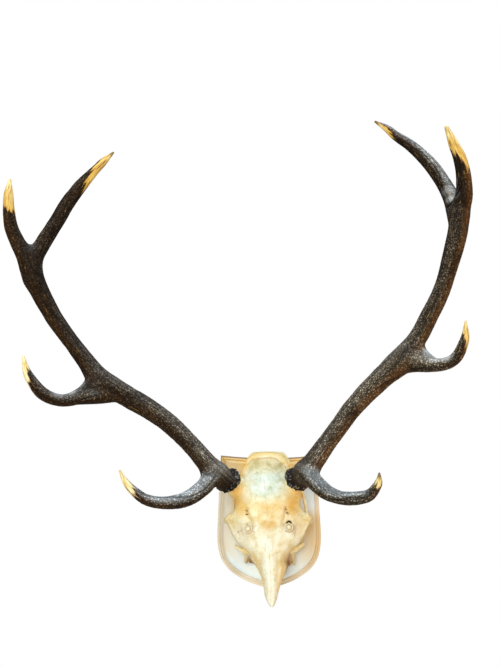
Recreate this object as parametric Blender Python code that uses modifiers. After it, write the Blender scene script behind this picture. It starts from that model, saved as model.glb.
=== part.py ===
"""Red deer antlers on a cut skull, screwed to a painted wooden shield.

Metres. +X is the viewer's right, +Y goes into the wall, +Z is up. The origin is the middle of the
shield's flat back, which lies in the plane y = 0.
"""

import math

import bmesh
import bpy
from mathutils import Matrix, Vector

# ---------------------------------------------------------------- driving dimensions

GAP = 0.0003                    # air between neighbouring pieces

SHIELD_HALF_WIDTH = 0.105
SHIELD_TOP = 0.136              # top corners above the origin
SHIELD_TOP_MIDDLE = 0.130       # the top edge dips between its corners
SHIELD_TIP = 0.126              # lower point below the origin
SHIELD_THICKNESS = 0.020
SHIELD_EDGE = 0.008             # square side of the board, before the moulding starts
MOULDING_STEPS = (              # (inset, rise) from the side of the board to its raised field
    (0.0062, 0.0026),
    (0.0010, 0.0026),
    (0.0022, 0.0044),
    (0.0040, 0.0024),
)

SKULL_BACK = SHIELD_THICKNESS + GAP     # the saw cut lies on the shield's face
SKULL_VOXEL = 0.0024
SKULL_TRIANGLES = 3060
MIDLINE = -0.0045               # the skull's forehead is a little left of the shield's middle
MIDLINE_LEAN = -0.05            # sideways drift of the midline for each metre off the wall
NOSE_BEND = 0.0050              # the tip of the nose turns this far to the right

ANTLER_VOXEL = 0.0030
ANTLER_TRIANGLES = 1850
BURR_RADIUS = 0.0228            # to the centres of its beads
BURR_BEAD = 0.0060
BURR_BEADS = 19
PEDICLE_RADIUS = 0.0185
PEDICLE_ROOT_RADIUS = 0.0270
PEDICLE_ROOTS = {"left": (-0.048, -0.055, 0.050), "right": (0.033, -0.055, 0.052)}
SAW_DISC = 1.4                  # radius of a saw cut, in radii of the branch it cuts

SCREW_SHANK_RADIUS = 0.0020
SCREW_HEAD_RADIUS = 0.0042
SCREW_HEAD_HEIGHT = 0.0028
SCREW_END = 0.006               # the screw's tip stays this far off the wall
WASHER_RADIUS = 0.0074
WASHER_THICKNESS = 0.0012
WASHER_CLEARANCE = 0.0008       # round its edge, in the bone
WASHER_SEAT = 0.0885            # bone under the washers, off the wall
SCREW_PLACES = {"left": (-0.0426, -0.0200), "right": (0.0365, -0.0170)}
FACE_PITS = (                   # openings in the face: (x, z, half width, half height)
    (0.0360, -0.0065, 0.0032, 0.0040),
    (-0.0425, -0.0105, 0.0026, 0.0030),
    (-0.0450, 0.0095, 0.0016, 0.0034),
    (0.0320, 0.0120, 0.0016, 0.0034),
)
FACE_PIT_DEPTH = 0.016

# The skull from its crest to the nasal tip. Each station is
# (z, half width at the roof's edge, roof's middle, roof's edge, under the edge, half width of the
# side wall, foot): the middle four heights and the foot are distances off the wall.
SKULL_STATIONS = (
    (0.1350, 0.0290, 0.068, 0.058, 0.046, 0.0250, 0.018),
    (0.1220, 0.0400, 0.083, 0.066, 0.050, 0.0360, 0.018),
    (0.1000, 0.0505, 0.095, 0.072, 0.056, 0.0430, 0.018),
    (0.0780, 0.0600, 0.100, 0.075, 0.058, 0.0450, 0.018),
    (0.0560, 0.0660, 0.102, 0.076, 0.061, 0.0450, 0.018),
    (0.0350, 0.0635, 0.103, 0.076, 0.065, 0.0430, 0.018),
    (0.0220, 0.0645, 0.102, 0.074, 0.065, 0.0420, 0.018),
    (0.0110, 0.0730, 0.101, 0.071, 0.063, 0.0400, 0.018),
    (-0.0010, 0.0830, 0.099, 0.067, 0.060, 0.0380, 0.018),
    (-0.0110, 0.0795, 0.097, 0.066, 0.058, 0.0360, 0.018),
    (-0.0220, 0.0735, 0.095, 0.064, 0.056, 0.0360, 0.018),
    (-0.0330, 0.0690, 0.093, 0.062, 0.052, 0.0400, 0.018),
    (-0.0440, 0.0610, 0.091, 0.060, 0.048, 0.0430, 0.018),
    (-0.0540, 0.0495, 0.089, 0.061, 0.044, 0.0430, 0.018),
    (-0.0640, 0.0385, 0.087, 0.062, 0.044, 0.0410, 0.018),
    (-0.0760, 0.0320, 0.084, 0.062, 0.046, 0.0360, 0.020),
    (-0.0900, 0.0295, 0.081, 0.062, 0.046, 0.0290, 0.024),
    (-0.1020, 0.0250, 0.078, 0.061, 0.048, 0.0240, 0.032),
    (-0.1180, 0.0190, 0.074, 0.061, 0.052, 0.0170, 0.044),
    (-0.1300, 0.0155, 0.071, 0.060, 0.055, 0.0130, 0.054),
    (-0.1430, 0.0112, 0.068, 0.060, 0.056, 0.0090, 0.055),
    (-0.1530, 0.0062, 0.066, 0.060, 0.057, 0.0045, 0.056),
    (-0.1610, 0.0026, 0.064, 0.060, 0.058, 0.0018, 0.057),
)

# Bars of the skull that stand clear of its body, right side: (x, y, z, radius).
CHEEK_ARCH = (
    (0.050, -0.042, 0.078, 0.0050),
    (0.062, -0.052, 0.060, 0.0036),
    (0.070, -0.052, 0.038, 0.0034),
    (0.074, -0.049, 0.016, 0.0036),
    (0.074, -0.044, -0.006, 0.0044),
    (0.065, -0.038, -0.028, 0.0052),
    (0.053, -0.034, -0.046, 0.0062),
    (0.040, -0.032, -0.054, 0.0070),
)
ORBIT_POST = (
    (0.070, -0.076, 0.008, 0.0050),
    (0.081, -0.066, -0.001, 0.0042),
    (0.080, -0.056, -0.004, 0.0038),
    (0.074, -0.044, -0.006, 0.0042),
)
CHEEK_SHELF = (
    (0.068, -0.042, -0.043, 0.0036),
    (0.057, -0.042, -0.051, 0.0052),
    (0.040, -0.038, -0.060, 0.0070),
)
LOWER_SPIKE = (
    (0.043, -0.037, -0.055, 0.0050),
    (0.045, -0.034, -0.068, 0.0042),
    (0.047, -0.032, -0.084, 0.0026),
)

# Antler branches: (x, y, z, radius), from root to tip.
LEFT_ANTLER = {
    "beam": (
        (-0.081, -0.097, 0.065, 0.0195),
        (-0.101, -0.119, 0.079, 0.0208),
        (-0.121, -0.133, 0.098, 0.0190),
        (-0.147, -0.138, 0.127, 0.0178),
        (-0.186, -0.146, 0.165, 0.0185),
        (-0.229, -0.156, 0.196, 0.0195),
        (-0.275, -0.168, 0.221, 0.0210),
        (-0.326, -0.182, 0.249, 0.0225),
        (-0.356, -0.194, 0.285, 0.0172),
        (-0.386, -0.208, 0.323, 0.0158),
        (-0.415, -0.223, 0.361, 0.0168),
        (-0.439, -0.240, 0.400, 0.0180),
        (-0.458, -0.256, 0.439, 0.0195),
        (-0.467, -0.268, 0.467, 0.0190),
    ),
    "front_tine": (
        (-0.469, -0.268, 0.462, 0.0175),
        (-0.485, -0.284, 0.498, 0.0145),
        (-0.494, -0.300, 0.521, 0.0130),
        (-0.497, -0.318, 0.550, 0.0115),
        (-0.494, -0.334, 0.573, 0.0092),
        (-0.489, -0.351, 0.599, 0.0032),
    ),
    "rear_tine": (
        (-0.457, -0.264, 0.460, 0.0170),
        (-0.440, -0.268, 0.504, 0.0157),
        (-0.420, -0.270, 0.544, 0.0150),
        (-0.401, -0.275, 0.581, 0.0142),
        (-0.376, -0.282, 0.616, 0.0130),
        (-0.349, -0.291, 0.646, 0.0097),
        (-0.327, -0.299, 0.666, 0.0078),
        (-0.306, -0.306, 0.684, 0.0030),
    ),
    "brow_tine": (
        (-0.108, -0.132, 0.078, 0.0182),
        (-0.125, -0.146, 0.053, 0.0158),
        (-0.148, -0.162, 0.032, 0.0145),
        (-0.172, -0.178, 0.021, 0.0130),
        (-0.199, -0.194, 0.017, 0.0116),
        (-0.224, -0.210, 0.021, 0.0103),
        (-0.245, -0.226, 0.035, 0.0085),
        (-0.258, -0.238, 0.049, 0.0062),
        (-0.267, -0.252, 0.067, 0.0028),
    ),
    "middle_tine": (
        (-0.324, -0.182, 0.243, 0.0212),
        (-0.352, -0.196, 0.219, 0.0166),
        (-0.379, -0.211, 0.203, 0.0130),
        (-0.402, -0.224, 0.202, 0.0120),
        (-0.421, -0.237, 0.210, 0.0118),
        (-0.436, -0.250, 0.227, 0.0101),
        (-0.446, -0.263, 0.247, 0.0078),
        (-0.450, -0.278, 0.275, 0.0028),
    ),
    "web_below": (
        (-0.290, -0.174, 0.223, 0.0160),
        (-0.327, -0.190, 0.214, 0.0150),
        (-0.372, -0.208, 0.206, 0.0130),
    ),
    "web_above": (
        (-0.350, -0.196, 0.272, 0.0130),
        (-0.346, -0.199, 0.243, 0.0115),
        (-0.364, -0.206, 0.214, 0.0110),
    ),
}
RIGHT_ANTLER = {
    "beam": (
        (0.053, -0.097, 0.068, 0.0195),
        (0.070, -0.121, 0.086, 0.0208),
        (0.087, -0.133, 0.106, 0.0195),
        (0.109, -0.138, 0.134, 0.0184),
        (0.135, -0.146, 0.167, 0.0180),
        (0.160, -0.155, 0.199, 0.0190),
        (0.188, -0.165, 0.229, 0.0202),
        (0.218, -0.177, 0.256, 0.0218),
        (0.258, -0.190, 0.293, 0.0228),
        (0.288, -0.203, 0.331, 0.0183),
        (0.309, -0.218, 0.369, 0.0177),
        (0.328, -0.233, 0.405, 0.0169),
        (0.341, -0.248, 0.438, 0.0166),
        (0.352, -0.264, 0.476, 0.0183),
        (0.361, -0.280, 0.513, 0.0193),
        (0.367, -0.293, 0.550, 0.0193),
    ),
    "front_tine": (
        (0.367, -0.294, 0.548, 0.0185),
        (0.374, -0.310, 0.587, 0.0162),
        (0.371, -0.324, 0.621, 0.0142),
        (0.363, -0.337, 0.648, 0.0125),
        (0.349, -0.350, 0.676, 0.0100),
        (0.332, -0.367, 0.709, 0.0030),
    ),
    "rear_tine": (
        (0.361, -0.285, 0.545, 0.0174),
        (0.355, -0.284, 0.594, 0.0159),
        (0.341, -0.285, 0.630, 0.0146),
        (0.316, -0.289, 0.671, 0.0137),
        (0.283, -0.295, 0.704, 0.0115),
        (0.253, -0.301, 0.724, 0.0095),
        (0.234, -0.306, 0.739, 0.0078),
        (0.207, -0.312, 0.754, 0.0030),
    ),
    "brow_tine": (
        (0.068, -0.132, 0.080, 0.0182),
        (0.085, -0.148, 0.059, 0.0160),
        (0.106, -0.165, 0.038, 0.0142),
        (0.131, -0.183, 0.027, 0.0127),
        (0.155, -0.201, 0.025, 0.0121),
        (0.173, -0.217, 0.028, 0.0107),
        (0.183, -0.233, 0.040, 0.0088),
        (0.187, -0.244, 0.051, 0.0068),
        (0.187, -0.255, 0.066, 0.0028),
    ),
    "middle_tine": (
        (0.262, -0.190, 0.297, 0.0214),
        (0.283, -0.202, 0.279, 0.0177),
        (0.304, -0.216, 0.270, 0.0140),
        (0.330, -0.232, 0.269, 0.0123),
        (0.346, -0.247, 0.278, 0.0113),
        (0.355, -0.262, 0.298, 0.0098),
        (0.358, -0.272, 0.315, 0.0075),
        (0.357, -0.284, 0.340, 0.0028),
    ),
    "web_below": (
        (0.236, -0.184, 0.274, 0.0150),
        (0.268, -0.198, 0.275, 0.0145),
        (0.298, -0.214, 0.272, 0.0130),
    ),
    "web_above": (
        (0.283, -0.203, 0.318, 0.0150),
        (0.290, -0.208, 0.296, 0.0130),
        (0.306, -0.217, 0.276, 0.0120),
    ),
}
# The burr's plane: the direction in which each antler leaves its pedicle.
BURR_DIRECTION = {"left": (-0.36, -0.86, 0.36), "right": (0.33, -0.87, 0.36)}
# Where each saw cut crosses: a branch and a station along it (1.5 is halfway from point 1 to 2).
SAW_CUTS = {
    "left": (("brow_tine", 1.7), ("middle_tine", 2.2), ("beam", 8.4), ("front_tine", 1.3),
             ("rear_tine", 1.15)),
    "right": (("brow_tine", 1.7), ("middle_tine", 2.3), ("beam", 9.3), ("front_tine", 1.55),
              ("rear_tine", 1.35)),
}
# A point inside each finished piece: a branch and a station along it.
PIECE_MARKS = {
    "lower_beam": ("beam", 4.0),
    "brow_tine": ("brow_tine", 4.0),
    "middle_tine": ("middle_tine", 3.0),
    "upper_beam": ("beam", 10.5),
    "front_tine": ("front_tine", 3.0),
    "rear_tine": ("rear_tine", 3.0),
}


# ---------------------------------------------------------------- small helpers

def clear_scene():
    for thing in list(bpy.data.objects):
        bpy.data.objects.remove(thing, do_unlink=True)


def new_collection(name):
    collection = bpy.data.collections.new(name)
    bpy.context.scene.collection.children.link(collection)
    return collection


def new_object(name, data, collection):
    thing = bpy.data.objects.new(name, data)
    collection.objects.link(thing)
    return thing


def mesh_from_bmesh(bm, name):
    mesh = bpy.data.meshes.new(name)
    bmesh.ops.recalc_face_normals(bm, faces=bm.faces)
    bm.to_mesh(mesh)
    bm.free()
    return mesh


def evaluated_mesh(thing, name):
    """The object's mesh with its modifiers done, in world space."""
    bpy.context.view_layer.update()
    depsgraph = bpy.context.evaluated_depsgraph_get()
    mesh = bpy.data.meshes.new_from_object(thing.evaluated_get(depsgraph))
    mesh.name = name
    mesh.transform(thing.matrix_world)
    return mesh


def smooth_point(points, station):
    """A point and radius on a smooth curve that passes through every point."""
    last = len(points) - 1
    index = min(int(station), last - 1)
    t = station - index
    before = Vector(points[max(index - 1, 0)])
    start = Vector(points[index])
    end = Vector(points[index + 1])
    after = Vector(points[min(index + 2, last)])
    return 0.5 * (2 * start + (end - before) * t
                  + (2 * before - 5 * start + 4 * end - after) * t ** 2
                  + (3 * start - before - 3 * end + after) * t ** 3)


def direction_at(points, station):
    ahead = smooth_point(points, station + 0.05).to_3d()
    behind = smooth_point(points, station - 0.05).to_3d()
    return (ahead - behind).normalized()


def tube(points, collection, samples=4, sides=3):
    """A round tube of changing radius along the smooth curve through the points."""
    curve = bpy.data.curves.new("tube", "CURVE")
    curve.dimensions = "3D"
    curve.bevel_depth = 1.0
    curve.bevel_resolution = sides
    curve.use_fill_caps = True
    spline = curve.splines.new("POLY")
    count = (len(points) - 1) * samples + 1
    spline.points.add(count - 1)
    for number, target in enumerate(spline.points):
        spot = smooth_point(points, number / samples)
        target.co = (spot.x, spot.y, spot.z, 1.0)
        target.radius = spot.w
    guide = new_object("tube", curve, collection)
    mesh = evaluated_mesh(guide, "tube")
    bpy.data.objects.remove(guide, do_unlink=True)
    return mesh


def ball(centre, radius):
    bm = bmesh.new()
    bmesh.ops.create_icosphere(bm, subdivisions=2, radius=radius, matrix=Matrix.Translation(centre))
    return mesh_from_bmesh(bm, "ball")


def rod(start, direction, radius, length, segments=32, end_radius=None):
    """A closed cylinder or cone that starts at a point and runs along a direction."""
    direction = Vector(direction).normalized()
    turn = direction.to_track_quat("Z", "Y").to_matrix().to_4x4()
    middle = Matrix.Translation(Vector(start) + direction * length / 2)
    bm = bmesh.new()
    bmesh.ops.create_cone(bm, cap_ends=True, segments=segments, radius1=radius,
                          radius2=radius if end_radius is None else end_radius,
                          depth=length, matrix=middle @ turn)
    return mesh_from_bmesh(bm, "rod")


def joined(meshes, name):
    """One mesh holding all the given closed bodies, which may overlap."""
    bm = bmesh.new()
    for mesh in meshes:
        bm.from_mesh(mesh)
        bpy.data.meshes.remove(mesh)
    bmesh.ops.remove_doubles(bm, verts=bm.verts, dist=0.00001)
    return mesh_from_bmesh(bm, name)


def fused(mesh, name, collection, voxel, smoothing, triangles):
    """Melt overlapping bodies into one skin, soften it and thin it out."""
    thing = new_object(name, mesh, collection)
    remesh = thing.modifiers.new("Fuse", "REMESH")
    remesh.mode = "VOXEL"
    remesh.voxel_size = voxel
    soften = thing.modifiers.new("Soften", "SMOOTH")
    soften.factor = 0.5
    soften.iterations = smoothing
    skin = evaluated_mesh(thing, name)
    bpy.data.objects.remove(thing, do_unlink=True)

    thing = new_object(name, skin, collection)
    thin = thing.modifiers.new("Thin out", "DECIMATE")
    thin.ratio = triangles / (2 * len(skin.polygons))
    thin.use_collapse_triangulate = True
    mesh = evaluated_mesh(thing, name)
    bpy.data.objects.remove(thing, do_unlink=True)
    return mesh


def sliced(mesh, point, normal):
    """Cut away what lies beyond a plane on its normal's side, and close the cut."""
    bm = bmesh.new()
    bm.from_mesh(mesh)
    cut = bmesh.ops.bisect_plane(bm, geom=bm.verts[:] + bm.edges[:] + bm.faces[:], dist=0.00001,
                                 plane_co=point, plane_no=normal, clear_outer=True)
    rim = [item for item in cut["geom_cut"] if isinstance(item, bmesh.types.BMEdge)]
    bmesh.ops.holes_fill(bm, edges=rim, sides=0)
    bmesh.ops.triangulate(bm, faces=bm.faces)
    return mesh_from_bmesh(bm, mesh.name)


def carve(thing, mesh, collection):
    """Cut a closed mesh out of an object, for good."""
    cutter = new_object(thing.name + "_cutter", mesh, collection)
    cutter.hide_render = True
    cutter.display_type = "WIRE"
    cut = thing.modifiers.new("Carve", "BOOLEAN")
    cut.operation = "DIFFERENCE"
    cut.solver = "EXACT"
    cut.object = cutter
    result = evaluated_mesh(thing, thing.name)
    thing.modifiers.remove(cut)
    thing.data = result
    bpy.data.objects.remove(cutter, do_unlink=True)


def loose_parts(mesh):
    """Each separate body of a mesh, as a bmesh of its own."""
    whole = bmesh.new()
    whole.from_mesh(mesh)
    whole.verts.ensure_lookup_table()
    waiting = set(whole.verts)
    bodies = []
    while waiting:
        edge_of_body = [waiting.pop()]
        body = set(edge_of_body)
        while edge_of_body:
            vert = edge_of_body.pop()
            for edge in vert.link_edges:
                other = edge.other_vert(vert)
                if other not in body:
                    body.add(other)
                    edge_of_body.append(other)
        waiting -= body
        piece = whole.copy()
        piece.verts.ensure_lookup_table()
        kept = {vert.index for vert in body}
        gone = [vert for vert in piece.verts if vert.index not in kept]
        bmesh.ops.delete(piece, geom=gone, context="VERTS")
        bodies.append(piece)
    whole.free()
    return bodies


# ---------------------------------------------------------------- materials

def material(name, colour, roughness):
    made = bpy.data.materials.new(name)
    made.use_nodes = True
    shader = made.node_tree.nodes["Principled BSDF"]
    shader.inputs["Base Color"].default_value = (*colour, 1.0)
    shader.inputs["Roughness"].default_value = roughness
    made.diffuse_color = (*colour, 1.0)
    return made


def finish(thing, made):
    thing.data.materials.clear()
    thing.data.materials.append(made)
    thing.data.shade_smooth()
    thing.data.set_sharp_from_angle(angle=math.radians(40))


# ---------------------------------------------------------------- shield

def shield_outline():
    """The right half, then the left one: down the side, round to the point and back up."""
    side = (
        (0.1000, SHIELD_TOP),
        (0.1022, 0.085),
        (0.1036, 0.030),
        (SHIELD_HALF_WIDTH, -0.028),
        (0.1010, -0.058),
        (0.0930, -0.077),
        (0.0770, -0.095),
        (0.0490, -0.112),
        (0.0190, -0.1225),
        (0.0, -SHIELD_TIP),
    )
    half = [(0.0, SHIELD_TOP_MIDDLE), (0.030, SHIELD_TOP_MIDDLE + 0.0008),
            (0.065, SHIELD_TOP_MIDDLE + 0.0028)]
    points = [(*place, 0.0) for place in side]
    for number in range((len(side) - 1) * 2 + 1):
        spot = smooth_point(points, number / 2)
        half.append((spot.x, spot.y))
    other = [(-x, z) for x, z in reversed(half[1:-1])]
    return half + other


def make_shield(parts, cutters):
    bm = bmesh.new()
    board = bm.faces.new([bm.verts.new((x, 0.0, z)) for x, z in shield_outline()])
    bm.normal_update()
    raised = bmesh.ops.extrude_face_region(bm, geom=[board])
    front = [item for item in raised["geom"] if isinstance(item, bmesh.types.BMFace)]
    lifted = [item for item in raised["geom"] if isinstance(item, bmesh.types.BMVert)]
    bmesh.ops.translate(bm, verts=lifted, vec=(0.0, -SHIELD_EDGE, 0.0))
    bmesh.ops.recalc_face_normals(bm, faces=bm.faces)
    for inset, rise in MOULDING_STEPS:
        bmesh.ops.inset_region(bm, faces=front, thickness=inset, depth=rise, use_even_offset=True)
    bmesh.ops.triangulate(bm, faces=bm.faces, ngon_method="BEAUTY")
    shield = new_object("shield_plaque", mesh_from_bmesh(bm, "shield_plaque"), parts)
    for x, z in SCREW_PLACES.values():
        start = (x, -(SCREW_END - 2 * GAP), z)
        hole = rod(start, (0, -1, 0), SCREW_SHANK_RADIUS + GAP, 0.03, segments=16)
        carve(shield, hole, cutters)
    return shield


# ---------------------------------------------------------------- skull

def midline(distance, height=0.0):
    """Where the skull's middle is: it is turned a little, and the nose bends near its tip."""
    nose = min(max((-0.050 - height) / 0.110, 0.0), 1.0)
    return MIDLINE + MIDLINE_LEAN * (distance - 0.100) + NOSE_BEND * nose


def skull_section(station):
    """One closed cross-section, from the roof's middle round the right side and back."""
    z, half, top, edge, under, wall, foot = station
    fall = top - edge
    right = (
        (0.00, top),
        (0.25 * half, top - 0.03 * fall),
        (0.50 * half, top - 0.14 * fall),
        (0.72 * half, top - 0.36 * fall),
        (0.89 * half, top - 0.66 * fall),
        (half, edge),
        (half - 0.02 * half, under),
        (0.5 * (half + wall), under - 0.003),
        (wall, max(under - 0.008, foot + 0.001)),
        (wall, 0.5 * (max(under - 0.008, foot + 0.001) + foot)),
        (wall, foot),
        (0.5 * wall, foot),
        (0.00, foot),
    )
    left = [(-x, distance) for x, distance in reversed(right[1:-1])]
    return [Vector((midline(d, z) + x, -d, z)) for x, d in list(right) + left]


def skull_body():
    """A loft through the cross-sections."""
    bm = bmesh.new()
    rings = [[bm.verts.new(place) for place in skull_section(station)]
             for station in SKULL_STATIONS]
    for upper, lower in zip(rings, rings[1:]):
        for number, vert in enumerate(upper):
            after = (number + 1) % len(upper)
            bm.faces.new((vert, upper[after], lower[after], lower[number]))
    bm.faces.new(rings[0])
    bm.faces.new(rings[-1])
    return mesh_from_bmesh(bm, "skull_body")


def mirrored(points):
    """The same bar on the left side of the skull's midline."""
    return [(2 * midline(-y) - x, y, z, radius) for x, y, z, radius in points]


def make_skull(parts, cutters):
    pieces = [skull_body()]
    for bar in (CHEEK_ARCH, ORBIT_POST, CHEEK_SHELF, LOWER_SPIKE):
        pieces.append(tube(bar, cutters, samples=3))
        pieces.append(tube(mirrored(bar), cutters, samples=3))
    for side, antler in (("left", LEFT_ANTLER), ("right", RIGHT_ANTLER)):
        base = Vector(antler["beam"][0][:3])
        root = Vector(PEDICLE_ROOTS[side])
        pieces.append(rod(root, base - root, PEDICLE_ROOT_RADIUS, (base - root).length + 0.008,
                          end_radius=PEDICLE_RADIUS))
    mesh = fused(joined(pieces, "skull"), "skull", cutters, SKULL_VOXEL, 3, SKULL_TRIANGLES)
    mesh = sliced(mesh, (0, -SKULL_BACK, 0), (0, 1, 0))
    for side, antler in (("left", LEFT_ANTLER), ("right", RIGHT_ANTLER)):
        away = Vector(BURR_DIRECTION[side]).normalized()
        base = Vector(antler["beam"][0][:3]) - away * GAP
        mesh = sliced(mesh, base, away)
    skull = new_object("skull", mesh, parts)
    for x, z in SCREW_PLACES.values():
        bore = rod((x, -SKULL_BACK + 0.01, z), (0, -1, 0), SCREW_SHANK_RADIUS + GAP, 0.12,
                   segments=16)
        carve(skull, bore, cutters)
        seat = rod((x, -WASHER_SEAT, z), (0, -1, 0), WASHER_RADIUS + WASHER_CLEARANCE, 0.03,
                   segments=24)
        carve(skull, seat, cutters)
    for x, z, half_width, half_height in FACE_PITS:
        shape = (Matrix.Translation((x, -WASHER_SEAT, z))
                 @ Matrix.Diagonal((half_width, FACE_PIT_DEPTH, half_height, 1.0)))
        bm = bmesh.new()
        bmesh.ops.create_icosphere(bm, subdivisions=1, radius=1.0, matrix=shape)
        carve(skull, mesh_from_bmesh(bm, "pit"), cutters)
    return skull


# ---------------------------------------------------------------- antlers

def burr_beads(base, away):
    """The crown of beads at the foot of an antler, no two quite alike."""
    across = away.orthogonal().normalized()
    along = away.cross(across)
    beads = []
    for number in range(BURR_BEADS):
        angle = math.tau * number / BURR_BEADS
        uneven = 1.0 + 0.10 * math.sin(5.3 * number) + 0.05 * math.sin(2.1 * number + 1.0)
        outward = across * math.cos(angle) + along * math.sin(angle)
        lift = 0.0050 + 0.0012 * math.sin(3.7 * number)
        centre = base + away * lift + outward * BURR_RADIUS * (0.97 + 0.03 * uneven)
        beads.append(ball(centre, BURR_BEAD * uneven))
    return beads


def antler_skin(side, antler, cutters):
    base = Vector(antler["beam"][0][:3])
    away = Vector(BURR_DIRECTION[side]).normalized()
    pieces = [tube(points, cutters) for points in antler.values()]
    pieces.append(rod(base - away * 0.006, away, BURR_RADIUS, 0.014, end_radius=0.0205))
    pieces.extend(burr_beads(base, away))
    mesh = fused(joined(pieces, side + "_antler"), side + "_antler", cutters, ANTLER_VOXEL, 4,
                 ANTLER_TRIANGLES)
    return sliced(mesh, base, -away)


def saw_discs(side, antler):
    """A thin disc across each place where the antler is split."""
    discs = []
    for branch, station in SAW_CUTS[side]:
        spot = smooth_point(antler[branch], station)
        along = direction_at(antler[branch], station)
        start = spot.to_3d() - along * GAP / 2
        discs.append(rod(start, along, spot.w * SAW_DISC, GAP, segments=24))
    return joined(discs, side + "_saw")


def make_antler(side, antler, parts, cutters):
    whole = new_object(side + "_antler", antler_skin(side, antler, cutters), cutters)
    carve(whole, saw_discs(side, antler), cutters)
    bodies = loose_parts(whole.data)
    bpy.data.objects.remove(whole, do_unlink=True)
    made = []
    for piece, (branch, station) in PIECE_MARKS.items():
        mark = smooth_point(antler[branch], station).to_3d()
        nearest = min(bodies, key=lambda body: min((vert.co - mark).length for vert in body.verts))
        bodies.remove(nearest)
        name = side + "_" + piece
        made.append(new_object(name, mesh_from_bmesh(nearest, name), parts))
    for crumb in bodies:
        crumb.free()
    return made


# ---------------------------------------------------------------- screws and washers

def make_washer(side, place, parts, cutters):
    x, z = place
    disc = rod((x, -WASHER_SEAT - GAP, z), (0, -1, 0), WASHER_RADIUS, WASHER_THICKNESS, segments=24)
    washer = new_object(side + "_washer", disc, parts)
    hole = rod((x, -WASHER_SEAT + 0.01, z), (0, -1, 0), SCREW_SHANK_RADIUS + GAP, 0.03, segments=12)
    carve(washer, hole, cutters)
    return washer


def make_screw(side, place, parts, cutters):
    """A turned profile: point, shank and domed head, with a cross-shaped recess."""
    x, z = place
    under_head = WASHER_SEAT + 2 * GAP + WASHER_THICKNESS
    top = under_head + SCREW_HEAD_HEIGHT
    profile = [(0.0, SCREW_END), (SCREW_SHANK_RADIUS, SCREW_END + 0.004),
               (SCREW_SHANK_RADIUS, under_head), (SCREW_HEAD_RADIUS, under_head),
               (SCREW_HEAD_RADIUS, under_head + 0.4 * SCREW_HEAD_HEIGHT),
               (0.75 * SCREW_HEAD_RADIUS, under_head + 0.85 * SCREW_HEAD_HEIGHT), (0.0, top)]
    bm = bmesh.new()
    verts = [bm.verts.new((radius, -distance, 0.0)) for radius, distance in profile]
    for first, second in zip(verts, verts[1:]):
        bm.edges.new((first, second))
    bmesh.ops.spin(bm, geom=bm.verts[:] + bm.edges[:], cent=(0, 0, 0), axis=(0, 1, 0),
                   angle=math.tau, steps=16, use_duplicate=False)
    bmesh.ops.remove_doubles(bm, verts=bm.verts, dist=0.00002)
    bmesh.ops.translate(bm, verts=bm.verts, vec=(x, 0.0, z))
    screw = new_object(side + "_screw", mesh_from_bmesh(bm, side + "_screw"), parts)
    for wide, tall in ((0.0044, 0.0010), (0.0010, 0.0044)):
        bm = bmesh.new()
        shape = Matrix.Translation((x, -top, z)) @ Matrix.Diagonal((wide, 0.0032, tall, 1.0))
        bmesh.ops.create_cube(bm, size=1.0, matrix=shape)
        carve(screw, mesh_from_bmesh(bm, "cross"), cutters)
    return screw


# ---------------------------------------------------------------- the whole trophy

def main():
    clear_scene()
    parts = new_collection("deer_antler_trophy")
    cutters = new_collection("cutters")

    horn = material("antler", (0.045, 0.032, 0.024), 0.55)
    bone = material("bone", (0.84, 0.76, 0.52), 0.50)
    paint = material("painted_wood", (0.80, 0.78, 0.72), 0.40)
    steel = material("painted_steel", (0.80, 0.74, 0.56), 0.35)

    finish(make_shield(parts, cutters), paint)
    finish(make_skull(parts, cutters), bone)
    for side, antler in (("left", LEFT_ANTLER), ("right", RIGHT_ANTLER)):
        for piece in make_antler(side, antler, parts, cutters):
            finish(piece, horn)
    for side, place in SCREW_PLACES.items():
        finish(make_washer(side, place, parts, cutters), steel)
        finish(make_screw(side, place, parts, cutters), steel)
    bpy.data.collections.remove(cutters)


main()
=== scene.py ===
# Red deer antlers on a cut skull, screwed to a painted shield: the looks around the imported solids.
import math

import bmesh
import bpy
import numpy as np
from mathutils import Matrix, Vector


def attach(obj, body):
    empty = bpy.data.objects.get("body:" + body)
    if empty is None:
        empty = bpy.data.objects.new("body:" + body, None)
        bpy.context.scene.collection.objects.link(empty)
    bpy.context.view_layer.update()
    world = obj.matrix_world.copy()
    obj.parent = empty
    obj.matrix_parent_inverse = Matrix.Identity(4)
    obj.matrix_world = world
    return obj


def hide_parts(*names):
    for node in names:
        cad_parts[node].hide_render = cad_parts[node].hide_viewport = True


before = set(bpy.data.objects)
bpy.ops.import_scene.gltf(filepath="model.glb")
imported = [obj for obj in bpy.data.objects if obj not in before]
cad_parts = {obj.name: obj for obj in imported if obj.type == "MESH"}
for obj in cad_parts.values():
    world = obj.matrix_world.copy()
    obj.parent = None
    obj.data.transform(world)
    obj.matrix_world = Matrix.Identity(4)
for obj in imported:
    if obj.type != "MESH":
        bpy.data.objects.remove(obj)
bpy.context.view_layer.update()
print("frame loaded:", len(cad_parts), "solids")

camera = {
    "place": (-0.0388, -1.490, -0.1299),
    "pitch": 110,  # degrees: level is 90, and the photo looks up by 20
    "lens": 38,
}
lights = {  # name: place, what it points at, width, height, watts, colour
    "skylight": ((0.25, -0.75, 1.95), (0.0, -0.15, 0.25), 2.4, 1.3, 45.5, "#dde9ff"),
    "front": ((-0.9, -2.5, 0.1), (0.0, -0.1, 0.05), 1.8, 1.8, 44, "#fffcf4"),
    "warmSide": ((1.6, -0.9, -0.6), (0.15, -0.15, 0.2), 1.0, 1.4, 10, "#ffd09a"),
}
surroundings = {"behind": "#ffffff", "glow": "#f8f5ee", "glowStrength": 0.36, "floorHeight": -1.6}


# colours, nodes and materials

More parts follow.
